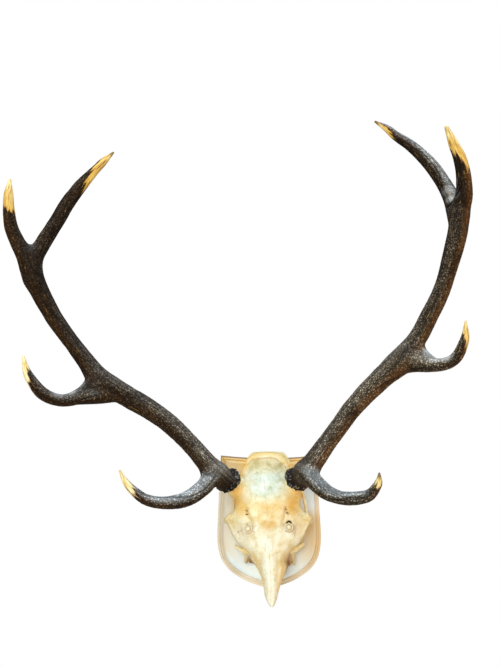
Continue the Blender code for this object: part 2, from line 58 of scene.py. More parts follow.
def linear(code):
    values = [int(code[start:start + 2], 16) / 255 for start in (1, 3, 5)]
    return (*(v / 12.92 if v <= 0.04045 else ((v + 0.055) / 1.055) ** 2.4 for v in values), 1.0)


def setSockets(node, sockets):
    # each input gets a number, a colour code or another node's output
    for key, value in sockets.items():
        if isinstance(value, bpy.types.NodeSocket):
            node.id_data.links.new(value, node.inputs[key])
        else:
            node.inputs[key].default_value = linear(value) if isinstance(value, str) else value


def addNode(tree, kind, sockets=None, out=0, stops=(), **settings):
    # settings go on the node and sockets on its inputs; out: the output that is handed back;
    # stops: a colour ramp's (position, colour code), in order
    node = tree.nodes.new("ShaderNode" + kind)
    for key, value in settings.items():
        setattr(node, key, value)
    setSockets(node, sockets or {})
    if stops:
        node.color_ramp.interpolation = "EASE"
        for _ in stops[2:]:
            node.color_ramp.elements.new(0.5)
        for element, (position, code) in zip(node.color_ramp.elements, stops):
            element.position = position
            element.color = linear(code)
    return node.outputs[out]


def startMaterial(name):
    made = bpy.data.materials.new(name)
    made.use_nodes = True
    return made, made.node_tree, made.node_tree.nodes["Principled BSDF"]


# meshes

def meshFrom(bm, name):
    mesh = bpy.data.meshes.new(name)
    bmesh.ops.recalc_face_normals(bm, faces=bm.faces)
    bm.to_mesh(mesh)
    bm.free()
    return mesh


def newObject(name, data):
    made = bpy.data.objects.new(name, data)
    bpy.context.scene.collection.objects.link(made)
    return made


def settled(data, *modifiers):
    # the mesh of a curve or mesh after its modifiers, each (kind, settings)
    made = newObject(data.name, data)
    for kind, settings in modifiers:
        added = made.modifiers.new(kind.capitalize(), kind)
        for key, value in settings.items():
            setattr(added, key, value)
    bpy.context.view_layer.update()
    depsgraph = bpy.context.evaluated_depsgraph_get()
    mesh = bpy.data.meshes.new_from_object(made.evaluated_get(depsgraph))
    bpy.data.objects.remove(made, do_unlink=True)
    return mesh


def joined(meshes, name):
    bm = bmesh.new()
    for mesh in meshes:
        bm.from_mesh(mesh)
        bpy.data.meshes.remove(mesh)
    return meshFrom(bm, name)


def meltTogether(mesh, voxel, softening):
    return settled(mesh, ("REMESH", {"mode": "VOXEL", "voxel_size": voxel}),
                   ("SMOOTH", {"factor": 0.5, "iterations": softening}))


def thinned(mesh, triangles):
    now = sum(len(face.vertices) - 2 for face in mesh.polygons)
    if now <= triangles:
        return mesh
    return settled(mesh, ("DECIMATE", {"ratio": triangles / now,
                                       "use_collapse_triangulate": True}))


def slicedOff(mesh, point, normal):
    bm = bmesh.new()
    bm.from_mesh(mesh)
    cut = bmesh.ops.bisect_plane(bm, geom=bm.verts[:] + bm.edges[:] + bm.faces[:], dist=0.00001,
                                 plane_co=point, plane_no=normal, clear_outer=True)
    rim = [item for item in cut["geom_cut"] if isinstance(item, bmesh.types.BMEdge)]
    bmesh.ops.holes_fill(bm, edges=rim, sides=0)
    return meshFrom(bm, mesh.name)


def carved(mesh, bm):
    cutter = newObject("cutter", meshFrom(bm, "cutter"))
    result = settled(mesh, ("BOOLEAN", {"operation": "DIFFERENCE", "solver": "EXACT",
                                        "object": cutter}))
    bpy.data.objects.remove(cutter, do_unlink=True)
    return result


def addCone(bm, middle, way, depth, foot, top, segments):
    # a cone or rod round its middle, with its top the given way
    turn = Vector(way).to_track_quat("Z", "Y").to_matrix().to_4x4()
    bmesh.ops.create_cone(bm, cap_ends=True, segments=segments, radius1=foot, radius2=top,
                          depth=depth, matrix=Matrix.Translation(middle) @ turn)


def readPoints(mesh, kind="co"):
    # kind: co for the places, normal for the ways that the surface faces
    values = np.zeros(len(mesh.vertices) * 3)
    mesh.vertices.foreach_get(kind, values)
    return values.reshape(-1, 3)


def writePoints(mesh, places):
    mesh.vertices.foreach_set("co", places.ravel())
    mesh.update()


def paint(mesh, fields):
    for name, values in fields.items():
        flat = values.ndim == 1
        layer = mesh.attributes.new(name, "FLOAT" if flat else "FLOAT_VECTOR", "POINT")
        layer.data.foreach_set("value" if flat else "vector", values.astype(np.float32).ravel())


def finishPiece(made, material, nodes, sharp=None):
    made.data.materials.clear()
    made.data.materials.append(material)
    made.data.shade_smooth()
    if sharp:
        made.data.set_sharp_from_angle(angle=math.radians(sharp))
    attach(made, "root")
    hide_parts(*nodes)
    print(made.name, len(made.data.polygons), "faces")


# smooth lines, and patterns that are the same each run

def ease(low, high, value):
    t = np.clip((value - low) / (high - low), 0.0, 1.0)
    return t * t * (3 - 2 * t)


def smoothLine(points, perSpan):
    points = np.array(points, float)
    padded = np.vstack([points[:1], points, points[-1:]])
    out = []
    for index in range(len(points) - 1):
        before, start, end, after = padded[index:index + 4]
        for step in range(perSpan):
            t = step / perSpan
            out.append(0.5 * (2 * start + (end - before) * t
                              + (2 * before - 5 * start + 4 * end - after) * t ** 2
                              + (3 * start - before - 3 * end + after) * t ** 3))
    out.append(points[-1])
    return np.array(out)


def roundBar(points):
    # a round bar along a smooth line, as a curve made into a mesh
    line = smoothLine(points, 6)
    curve = bpy.data.curves.new("bar", "CURVE")
    curve.dimensions = "3D"
    curve.bevel_depth = 1.0
    curve.bevel_resolution = 6
    curve.use_fill_caps = True
    spline = curve.splines.new("POLY")
    spline.points.add(len(line) - 1)
    for target, (*place, radius) in zip(spline.points, line):
        target.co = (*place, 1.0)
        target.radius = radius
    return settled(curve)


def scatter(a, b, seed):
    wave = np.sin(a * 12.9898 + b * 78.233 + seed * 37.719) * 43758.5453
    return wave - np.floor(wave)


def wrapNoise(u, v, around, seed):
    # soft noise from 0 to 1; v repeats after a whole number of steps
    iu, iv = np.floor(u), np.floor(v)
    fu, fv = ease(0, 1, u - iu), ease(0, 1, v - iv)
    total = 0
    for a in (0, 1):
        for b in (0, 1):
            share = (fu if a else 1 - fu) * (fv if b else 1 - fv)
            total = total + share * scatter(iu + a, np.mod(iv + b, around), seed)
    return total


def beads(u, v, around, seed, spread):
    # round bumps of mixed height, one at most in each cell
    iu, iv = np.floor(u), np.floor(v)
    best = np.zeros_like(u)
    for a in (-1, 0, 1):
        for b in (-1, 0, 1):
            cu, cv = iu + a, np.mod(iv + b, around)
            du = u - (iu + a) - 0.15 - 0.7 * scatter(cu, cv, seed)
            dv = v - (iv + b) - 0.15 - 0.7 * scatter(cu, cv, seed + 1)
            size = 0.35 + 0.65 * scatter(cu, cv, seed + 2)
            far = (du * du + dv * dv) / (spread * size) ** 2
            best = np.maximum(best, size * np.clip(1 - far, 0, 1))
    return best


def strokeDistance(x, z, points):
    # how far each place is from the stroke, and how far along the stroke that is
    line = smoothLine(points, 5) if len(points) > 2 else np.array(points, float)
    best = np.full(len(x), 1e9)
    travelled = np.zeros(len(x))
    run = 0.0
    for (x0, z0), (x1, z1) in zip(line, line[1:]):
        dx, dz = x1 - x0, z1 - z0
        length = math.hypot(dx, dz)
        t = np.clip(((x - x0) * dx + (z - z0) * dz) / max(length ** 2, 1e-9), 0, 1)
        far = np.hypot(x - x0 - t * dx, z - z0 - t * dz)
        closer = far < best
        best = np.where(closer, far, best)
        travelled = np.where(closer, run + t * length, travelled)
        run += length
    return best, travelled


# the antlers

antler = {
    "voxel": 0.0011, "quickVoxel": 0.0022, "triangles": 192000,
    "beadLength": 0.0034, "beadWidth": 0.0023, "beadHeight": 0.00080,
    "smallBeads": (1.7, 0.62),  # between the beads: how much closer and how high
    "fadeReach": (0.10, 0.42), "fadeShare": 0.62,  # beads are lower this far from the burr
    "grooveDepth": 0.00080, "grooveWidth": 0.0075, "grooveLength": 0.075, "grooveWander": 0.05,
    "lumpHeight": 0.0006, "lumpLength": 0.035, "overThick": 0.0004,
    "patchLength": 0.020,  # of dust and painted sheen
    "streakLength": 0.030, "streakReach": 0.012,  # where the stain ends
    "jointBlend": 0.0035,  # where branches meet, their patterns run into each other this far
    "forkMove": (-0.002, 0.004), "softRounds": 30, "quickSoftRounds": 10,  # rounding of forks
    "burrRadius": 0.0236, "burrTop": 0.0205, "burrThickness": 0.014, "burrLift": 0.0055,
    "burrBead": 0.0036, "burrBeads": 31, "burrHeight": 0.0016, "knobWidth": 0.0040,
    "creaseDepth": 0.0012, "gapToSkull": 0.0003,
}
# in mm: (x, y, z, radius) from root to tip
leftBranches = {
    "beam": (
        (-81, -97, 65, 19.5), (-101, -119, 79, 20.8), (-121, -133, 98, 19),
        (-147, -138, 127, 17.8), (-186, -146, 165, 18.5), (-229, -156, 196, 19.5),
        (-275, -168, 221, 21), (-326, -182, 249, 22.5), (-356, -194, 285, 17.2),
        (-386, -208, 323, 15.8), (-415, -223, 361, 16.8), (-438.2, -240, 400, 18),
        (-457, -256, 439, 19.5), (-467, -268, 467, 19)),
    "frontTine": (
        (-462, -262, 450, 16.5), (-469, -269, 468, 17.2), (-485, -284, 498, 14.5),
        (-494, -300, 521, 13), (-496, -318, 550, 11), (-493.5, -334, 571, 9),
        (-489, -347, 592, 2.8)),
    "rearTine": (
        (-456, -258, 430, 13), (-455, -264, 464, 15.2), (-438.5, -268, 504, 15.2),
        (-418.5, -270, 544, 14.6), (-400, -275, 581, 14.2), (-376, -282, 616, 13),
        (-349, -291, 646, 9.7), (-328, -299, 665, 7.6), (-310, -305, 680.5, 2.8)),
    "browTine": (
        (-98, -117, 86, 12.5), (-110, -133, 76, 16.5), (-125, -146, 53, 15.8),
        (-148, -162, 32, 14.5), (-172, -178, 21, 13), (-199, -194, 17, 11.6),
        (-224, -210, 21, 10.3), (-245, -226, 35, 8.5), (-258, -238, 49, 6.2),
        (-266, -251, 65, 2.6)),
    "middleTine": (
        (-312, -179, 237, 14), (-332, -187, 232, 16.5), (-352, -196, 219, 16.6),
        (-379, -211, 203, 13), (-402, -224, 202, 12), (-421, -237, 210, 11.8),
        (-436, -250, 227, 10.1), (-446, -262, 245, 7.6), (-450, -275, 268, 2.6)),
    "webBelow": (
        (-290, -174, 224, 15.2), (-327, -190, 215, 14.2), (-372, -208, 206, 12)),
    "webAbove": (
        (-350, -196, 272, 12), (-345, -199, 242, 10), (-364, -206, 213, 9.5)),
}
rightBranches = {
    "beam": (
        (53, -97, 68, 19.5), (70, -121, 86, 20.8), (87, -133, 106, 19.5),
        (108.3, -138, 134.7, 18.2), (134.2, -146, 167.8, 17.7), (159.2, -155, 199.8, 18.7),
        (187.3, -165, 229.7, 20), (217.5, -177, 256.5, 21.7), (258, -190, 293, 22.8),
        (288, -203, 331, 18.3), (309, -218, 369, 17.7), (328, -233, 405, 16.9),
        (340.2, -248, 438, 16.6), (351, -264, 476, 18.3), (360.2, -280, 513, 19.3),
        (367, -293, 550, 19.3)),
    "frontTine": (
        (366, -290, 540, 18), (369, -297, 560, 17.8), (373.3, -310, 587, 16.2),
        (371, -324, 621, 14.2), (363, -337, 648, 12.5), (350, -349, 672, 9.8),
        (337.2, -361.2, 697, 5)),
    "rearTine": (
        (361, -276, 520, 13.5), (360, -282, 560, 16), (355, -284, 594, 16.2),
        (341, -285, 630, 14.6), (316, -289, 671, 13.7), (283, -295, 704, 11.5),
        (253, -301, 724, 9.5), (236, -306, 737, 7.6), (213, -311, 749.5, 2.8)),
    "browTine": (
        (62, -115, 88, 12.5), (71, -134, 77, 16.5), (85, -148, 59, 16), (106, -165, 38, 14.2),
        (131, -183, 27, 12.7), (155, -201, 25, 12.1), (173, -217, 28, 10.7), (183, -232, 39, 8.6),
        (187, -242, 48, 6.6), (187, -251, 60, 2.6)),
    "middleTine": (
        (247, -187, 278, 14), (268, -195, 286, 17.2), (283, -202, 279, 17.7), (304, -216, 270, 14),
        (330, -232, 269, 12.3), (346, -247, 278, 11.3), (355, -262, 297, 9.6),
        (358, -271, 312, 7.2), (357.5, -281, 333, 2.6)),
    "webBelow": (
        (236, -184, 274, 15), (268, -198, 275, 14.5), (298, -214, 272, 13)),
    "webAbove": (
        (283, -203, 318, 15), (290, -208, 296, 13), (306, -217, 276, 12)),
}
sides = {
    # polished: length of the bare end, how much further it reaches on the side named next, how
    # pale it is, and how dark its very end
    # rubbed: spots of painted sheen as (x, z, reach, strength); dusty: dust with painted sky sheen
    # at the root, at the end, even share, coolness of the painted sky tint
    "left": {
        "branches": leftBranches, "leaves": (-0.36, -0.86, 0.36), "seed": 11,
        "polished": {"frontTine": (0.056, 0.006, (1, 0, 0), 0.2, 0.0),
                     "rearTine": (0.046, 0.044, (0.7, -0.2, -0.7), 0.1, 0.8),
                     "browTine": (0.036, 0.014, (-0.6, -0.4, -0.7), 1.0, 0.0),
                     "middleTine": (0.040, 0.015, (-0.9, 0, -0.4), 0.9, 0.0)},
        "forkReach": {"rearTine": 0.017, "browTine": 0.018, "middleTine": 0.016},
        # how much painted sheen lies in each fork's hollow, by tine
        "crotchSheen": {"rearTine": 0.45, "browTine": 0.20, "middleTine": 0.80},
        "crease": (),
        "sheenSpots": ((-0.3750, 0.2220, 0.016, 0.75), (-0.3930, 0.2165, 0.018, 0.60),
                   (-0.4620, 0.5040, 0.010, 0.50)),
        "dustAndSheenAmounts": {"beam": (0.60, 0.02, 0.28, 0.4), "frontTine": (0.10, 0.10, 0.5, 0.2),
                  "rearTine": (0.16, 0.10, 0.5, 0.3), "browTine": (1.0, 0.8, 0.0, 1.0),
                  "middleTine": (0.30, 0.30, 0.1, 0.5)},
        # the ways faced by the painted sky sheen, by the painted highlight along the beam and by the
        # painted warm reflection
        "skyFaces": (0.25, -0.10, 0.96),
        "ridgeFaces": (0.10, -0.98, 0.17), "ridgeEnds": (0.17, 0.25), "ridge": 2.2,
        "warmReflectionFaces": (-0.35, -0.35, -0.87), "warmReflection": 0.13,
    },
    "right": {
        "branches": rightBranches, "leaves": (0.33, -0.87, 0.36), "seed": 47,
        "polished": {"frontTine": (0.066, 0.032, (1, 0, 0), 0.2, 0.2),
                     "rearTine": (0.015, 0.034, (-0.55, 0, -0.85), 0.1, 0.9),
                     "browTine": (0.010, 0.018, (-0.3, -0.95, 0), 0.7, 0.9),
                     "middleTine": (0.040, 0.018, (1, 0, 0.2), 0.3, 0.0)},
        "forkReach": {"rearTine": 0.003, "browTine": 0.018, "middleTine": 0.022},
        # how much painted sheen lies in each fork's hollow, by tine
        "crotchSheen": {"rearTine": 0.0, "browTine": 0.0, "middleTine": 1.25},
        "crease": ((0.3640, 0.5925), (0.3575, 0.5820), (0.3520, 0.5740), (0.3470, 0.5690),
                   (0.3425, 0.5660)),
        "sheenSpots": ((0.3510, 0.5830, 0.012, 0.75), (0.3460, 0.6010, 0.014, 0.40),
                   (0.2980, 0.2930, 0.014, 0.95), (0.3090, 0.2835, 0.017, 1.0),
                   (0.3250, 0.2800, 0.016, 0.85)),
        "dustAndSheenAmounts": {"beam": (0.80, 0.36, 0.62, 0.24), "frontTine": (0.05, 0.05, 0.5, 0.2),
                  "rearTine": (1.50, 0.85, 0.05, 1.0), "browTine": (1.00, 1.35, 0.24, 1.0),
                  "middleTine": (1.10, 0.95, 0.28, 0.35)},
        # the ways faced by the painted sky sheen, by the painted highlight along the beam and by the
        # painted warm reflection
        "skyFaces": (0.35, -0.30, 0.89),
        "ridgeFaces": (-0.45, -0.86, 0.24), "ridgeEnds": (0.22, 0.34), "ridge": 0.30,
        "warmReflectionFaces": (0.80, -0.45, -0.40), "warmReflection": 0.58,
    },
}
for side in sides.values():
    side["branches"] = {name: np.array(points) / 1000 for name, points in side["branches"].items()}


def centreLine(points):
    # closely spaced places on a branch, each with a frame that doesn't twist
    line = smoothLine(points, 14)
    places, radii = line[:, :3], line[:, 3]
    ways = np.gradient(places, axis=0)
    ways /= np.linalg.norm(ways, axis=1)[:, None]
    across = np.zeros_like(ways)
    start = np.cross(ways[0], (0.0, 1.0, 0.0))
    across[0] = start / np.linalg.norm(start)
    for index in range(1, len(ways)):
        turned = across[index - 1] - ways[index] * (across[index - 1] @ ways[index])
        across[index] = turned / np.linalg.norm(turned)
    steps = np.linalg.norm(np.diff(places, axis=0), axis=1)
    run = np.concatenate([[0.0], np.cumsum(steps)])
    return places, radii, ways, across, np.cross(ways, across), run


def measureBranch(verts, points):
    # for each vertex: depth outside the branch, way along it, turn round it, radius there and
    # outward way; then the branch's whole length
    places, radii, ways, across, over, run = centreLine(points)
    nearest = np.zeros(len(verts), int)
    for start in range(0, len(verts), 20000):
        chunk = verts[start:start + 20000]
        gaps = (chunk ** 2).sum(1)[:, None] - 2 * chunk @ places.T + (places ** 2).sum(1)[None]
        nearest[start:start + 20000] = gaps.argmin(1)
    offset = verts - places[nearest]
    ahead = (offset * ways[nearest]).sum(1)
    radial = offset - ahead[:, None] * ways[nearest]
    wide = np.linalg.norm(radial, axis=1)
    away = np.hypot(wide, np.clip(np.abs(ahead) - 0.002, 0, None))
    turn = np.arctan2((radial * over[nearest]).sum(1), (radial * across[nearest]).sum(1))
    outward = radial / np.maximum(wide, 1e-6)[:, None]
    return (away - radii[nearest], run[nearest] + ahead, turn / math.tau + 0.5, radii[nearest],
            outward, run[-1])


def forkRise(verts, side):
    # how far each vertex is from the surface that joins the branches with rounded forks
    depth = {name: measureBranch(verts, points)[0] for name, points in side["branches"].items()}
    whole = np.minimum(depth["beam"], depth["frontTine"])
    for name, reach in side["forkReach"].items():
        near = np.clip(reach - np.abs(whole - depth[name]), 0, None)
        whole = np.minimum(whole, depth[name]) - near ** 2 / (4 * reach)
    return -np.minimum(whole, np.minimum(depth["webBelow"], depth["webAbove"]))


def softenForks(mesh, side, rounds):
    # evens out the creases where branches meet, and nothing else
    verts = readPoints(mesh)
    depths = np.sort([measureBranch(verts, points)[0] for points in side["branches"].values()],
                     axis=0)
    share = 0.9 * (1 - ease(0.003, 0.013, depths[1] - depths[0]))
    edges = np.zeros(len(mesh.edges) * 2, int)
    mesh.edges.foreach_get("vertices", edges)
    first, second = edges.reshape(-1, 2).T
    count = np.bincount(edges, minlength=len(verts))[:, None]
    for _ in range(rounds):
        total = np.stack([np.bincount(first, verts[second, axis], len(verts))
                          + np.bincount(second, verts[first, axis], len(verts))
                          for axis in range(3)], 1)
        verts += share[:, None] * (total / count - verts)
    writePoints(mesh, verts)


def creaseShare(verts, ways, side):
    # where one tine overlaps the other: a groove with a line of painted shade across the front
    if not side["crease"]:
        return np.zeros(len(verts))
    far, _ = strokeDistance(verts[:, 0], verts[:, 2], side["crease"])
    return (1 - ease(0.0005, 0.0022, far)) * ease(0.0, 0.4, -ways[:, 1])


def surfacePatterns(name, side, seed, along, turn):
    # beads, grooves and lumps of one branch
    meanRadius = np.mean([point[3] for point in side["branches"][name]])
    around = max(12, round(math.tau * meanRadius / antler["beadWidth"]))
    closer, low = antler["smallBeads"]
    one = beads(along / antler["beadLength"], turn * around, around, seed, 0.72)
    two = beads(along / antler["beadLength"] * closer, turn * around * 2, around * 2, seed + 3, 0.7)
    furrows = max(7, round(math.tau * meanRadius / antler["grooveWidth"]))
    wander = 0.5 * wrapNoise(along / antler["grooveWander"], turn * 4, 4, seed + 2)
    line = wrapNoise(along / antler["grooveLength"], turn * furrows + wander, furrows, seed + 1)
    return {"bead": np.maximum(one, low * two),
            "groove": ease(0.62, 0.95, 1 - np.abs(2 * line - 1)),
            "lump": wrapNoise(along / antler["lumpLength"], turn * 5, 5, seed + 4) - 0.5}


def polishPatterns(polished, seed, along, turn, outward, toTip):
    # how bare the end of one tine is, how pale and how dark at its very tip
    edge, further, lean, paleness, darkEnd = polished
    edge = np.maximum(edge + further * (outward @ np.array(lean)), 0.001)
    streak = wrapNoise(along / antler["streakLength"], turn * 18, 18, seed + 6) - 0.5
    wide = (wrapNoise(along / 0.080, turn * 3, 3, seed + 7) - 0.5) * 0.008
    blend = 0.012 + 0.25 * further
    reach = toTip + streak * antler["streakReach"] + wide
    return {"polish": 1 - ease(edge - blend, edge + blend, reach),
            "pale": np.clip(paleness + 0.4 - 0.4 * ease(0.1, 0.8, toTip / edge), 0, 1),
            "tipEnd": darkEnd * (1 - ease(0.002, 0.011, toTip))}


def antlerFields(verts, ways, side):
    # the patterns of all branches, and where dust, painted sheen, painted highlights and the painted
    # warm reflection show
    measured = {name: measureBranch(verts, points) for name, points in side["branches"].items()
                if not name.startswith("web")}
    outside = np.array([one[0] for one in measured.values()])
    shares = np.exp(-(outside - outside.min(0)) / antler["jointBlend"])
    shares /= shares.sum(0)
    fields = {name: np.zeros(len(verts)) for name in ("bead", "groove", "lump", "polish", "pale",
                                                      "dustAndSheen", "coolSkyTint", "warmReflection", "sheen", "tipEnd")}
    fields["fibre"] = np.zeros((len(verts), 3))
    fields["crease"] = creaseShare(verts, ways, side)
    fields["joint"] = 1 - ease(0.80, 0.99, shares.max(0))
    # painted sheen on the front of the given spots, kept off the crease
    for x, z, reach, strength in side["sheenSpots"]:
        far = np.hypot(verts[:, 0] - x, verts[:, 2] - z)
        fields["sheen"] = np.maximum(fields["sheen"], strength * (1 - ease(0, reach, far))
                                     * ease(0.0, 0.5, -ways[:, 1]) * (1 - fields["crease"]))
    # the sides that face the sky, where dust and painted sky sheen gather
    facingUp = ease(-0.45, 0.55, ways @ np.array(side["skyFaces"]))
    for number, (name, measures) in enumerate(measured.items()):
        depth, along, turn, radius, outward, length = measures
        seed = side["seed"] + 5 * number
        share = shares[number]
        found = surfacePatterns(name, side, seed, along, turn)
        if name in side["polished"]:
            found.update(polishPatterns(side["polished"][name], seed, along, turn, outward,
                                        length - along))
        patches = 0.70 + 0.6 * wrapNoise(along / antler["patchLength"], turn * 6, 6, seed + 8)
        # dust with painted sky sheen: stronger on the sides that face up, weaker where the painted
        # warm reflection lies
        atRoot, atEnd, even, coolSkyTint = side["dustAndSheenAmounts"][name]
        amount = atRoot + (atEnd - atRoot) * ease(0.0, 1.0, along / length)
        # the sides that take the painted warm reflection
        warm = ease(0.30, 0.90, outward @ np.array(side["warmReflectionFaces"]))
        found["dustAndSheen"] = amount * (even + (1 - even) * facingUp) * patches * (1 - 0.6 * warm)
        if name == "beam":
            # a painted highlight line along the beam's ridge, on the faces that point one way
            run = ease(0.02, 0.08, along) * (1 - ease(*side["ridgeEnds"], along))
            ridge = ease(0.982, 0.9995, outward @ np.array(side["ridgeFaces"]))
            found["dustAndSheen"] += side["ridge"] * ridge * run * patches
        if name in side["crotchSheen"]:
            # painted sheen on the upper side of a fork's hollow
            hollow = 1 - ease(0.008, 0.034, np.abs(depth - measured["beam"][0]))
            found["sheen"] = side["crotchSheen"][name] * hollow * ease(0.10, 0.75, ways[:, 2])
        # a cool painted sky tint on the sides that face up
        found["coolSkyTint"] = coolSkyTint * facingUp
        # painted warm reflection, golden brown, in patches
        found["warmReflection"] = side["warmReflection"] * warm * patches
        for key, values in found.items():
            fields[key] += share * values
        local = np.stack([along + 0.7 * number, radius * np.cos(turn * math.tau),
                          radius * np.sin(turn * math.tau)], 1)
        fields["fibre"] += share[:, None] * local
    return fields


def leavingWay(side):
    return Vector(side["leaves"]).normalized()


def burrMiddle(side):
    # it lies a little above the beam's own middle
    away = leavingWay(side)
    upwards = (Vector((0, 0, 1)) - away * away.z).normalized()
    return Vector(side["branches"]["beam"][0][:3]) + upwards * antler["burrLift"]


def burrMesh(side):
    # a low cone under a ring of uneven pearls
    away, burr = leavingWay(side), burrMiddle(side)
    sideways = away.orthogonal().normalized()
    upwards = away.cross(sideways)
    bm = bmesh.new()
    addCone(bm, burr + away * 0.001, away, antler["burrThickness"], antler["burrRadius"],
            antler["burrTop"], 48)
    for number in range(antler["burrBeads"]):
        angle = math.tau * number / antler["burrBeads"]
        uneven = 1.0 + 0.11 * math.sin(5.3 * number) + 0.09 * math.sin(2.1 * number + 1.0)
        lift = 0.0042 + 0.0014 * math.sin(3.7 * number)
        outward = sideways * math.cos(angle) + upwards * math.sin(angle)
        centre = burr + away * lift + outward * antler["burrRadius"] * (0.96 + 0.04 * uneven)
        bmesh.ops.create_icosphere(bm, subdivisions=3, radius=antler["burrBead"] * uneven,
                                   matrix=Matrix.Translation(centre))
    return meshFrom(bm, "burr")


def burrKnobs(verts, side):
    width = antler["knobWidth"]
    return beads(verts[:, 0] / width + verts[:, 1] / 0.0055, verts[:, 2] / width, 1e6,
                 side["seed"], 0.75)


def makeAntler(name, side, voxel):
    base, away, burr = side["branches"]["beam"][0][:3], leavingWay(side), burrMiddle(side)
    bodies = [roundBar(points) for points in side["branches"].values()] + [burrMesh(side)]
    mesh = meltTogether(joined(bodies, name), voxel, 4)
    for _ in range(3):
        verts, ways = readPoints(mesh), readPoints(mesh, "normal")
        aboveBurr = ease(0.012, 0.022, (verts - base) @ np.array(away))
        rise = np.clip(forkRise(verts, side), *antler["forkMove"]) * aboveBurr
        writePoints(mesh, verts + ways * 0.8 * rise[:, None])
    mesh = meltTogether(mesh, voxel, 3)
    softenForks(mesh, side, antler["softRounds"])
    verts, ways = readPoints(mesh), readPoints(mesh, "normal")
    fields = antlerFields(verts, ways, side)
    # beads are boldest at the foot, and die out towards the polished ends
    fromBurr = np.linalg.norm(verts - base, axis=1)
    rugged = 1 - antler["fadeShare"] * ease(*antler["fadeReach"], fromBurr)
    rough = 1 - ease(0.0, 0.6, fields["polish"])
    height = antler["beadHeight"] * fields["bead"] * rugged * rough
    height -= antler["grooveDepth"] * fields["groove"] * rough * (0.6 + 0.4 * rugged)
    height += antler["lumpHeight"] * fields["lump"] * rough - antler["overThick"]
    crown = 1 - ease(0.010, 0.016, (verts - base) @ np.array(away))
    crown *= 1 - ease(0.030, 0.040, np.linalg.norm(verts - np.array(burr), axis=1))
    height += antler["burrHeight"] * (burrKnobs(verts, side) - 0.35) * crown
    height -= antler["creaseDepth"] * fields["crease"]
    writePoints(mesh, verts + ways * height[:, None])
    mesh = thinned(slicedOff(mesh, Vector(base), -away), antler["triangles"])
    verts, ways = readPoints(mesh), readPoints(mesh, "normal")
    fields = antlerFields(verts, ways, side)
    fromBurr = np.linalg.norm(verts - base, axis=1)
    crown = 1 - ease(0.010, 0.018, (verts - base) @ np.array(away))
    # the foot of the beam is dark too, with painted shade strongest on its underside
    foot = (1 - ease(0.014, 0.044, fromBurr)) * (1 - 0.7 * ease(-0.1, 0.6, ways[:, 2]))
    fields["crown"] = np.maximum(crown * (1 - ease(0.032, 0.042, fromBurr)), foot)
    # painted glints on the tops of the burr's knobs
    fields["knobGlint"] = crown * burrKnobs(verts, side)
    fields["upper"] = ease(0.10, 0.40, fromBurr)
    fields["calm"] = 1 - ease(0.042, 0.085, fromBurr)
    del fields["lump"]
    paint(mesh, fields)
    return newObject(name, mesh)


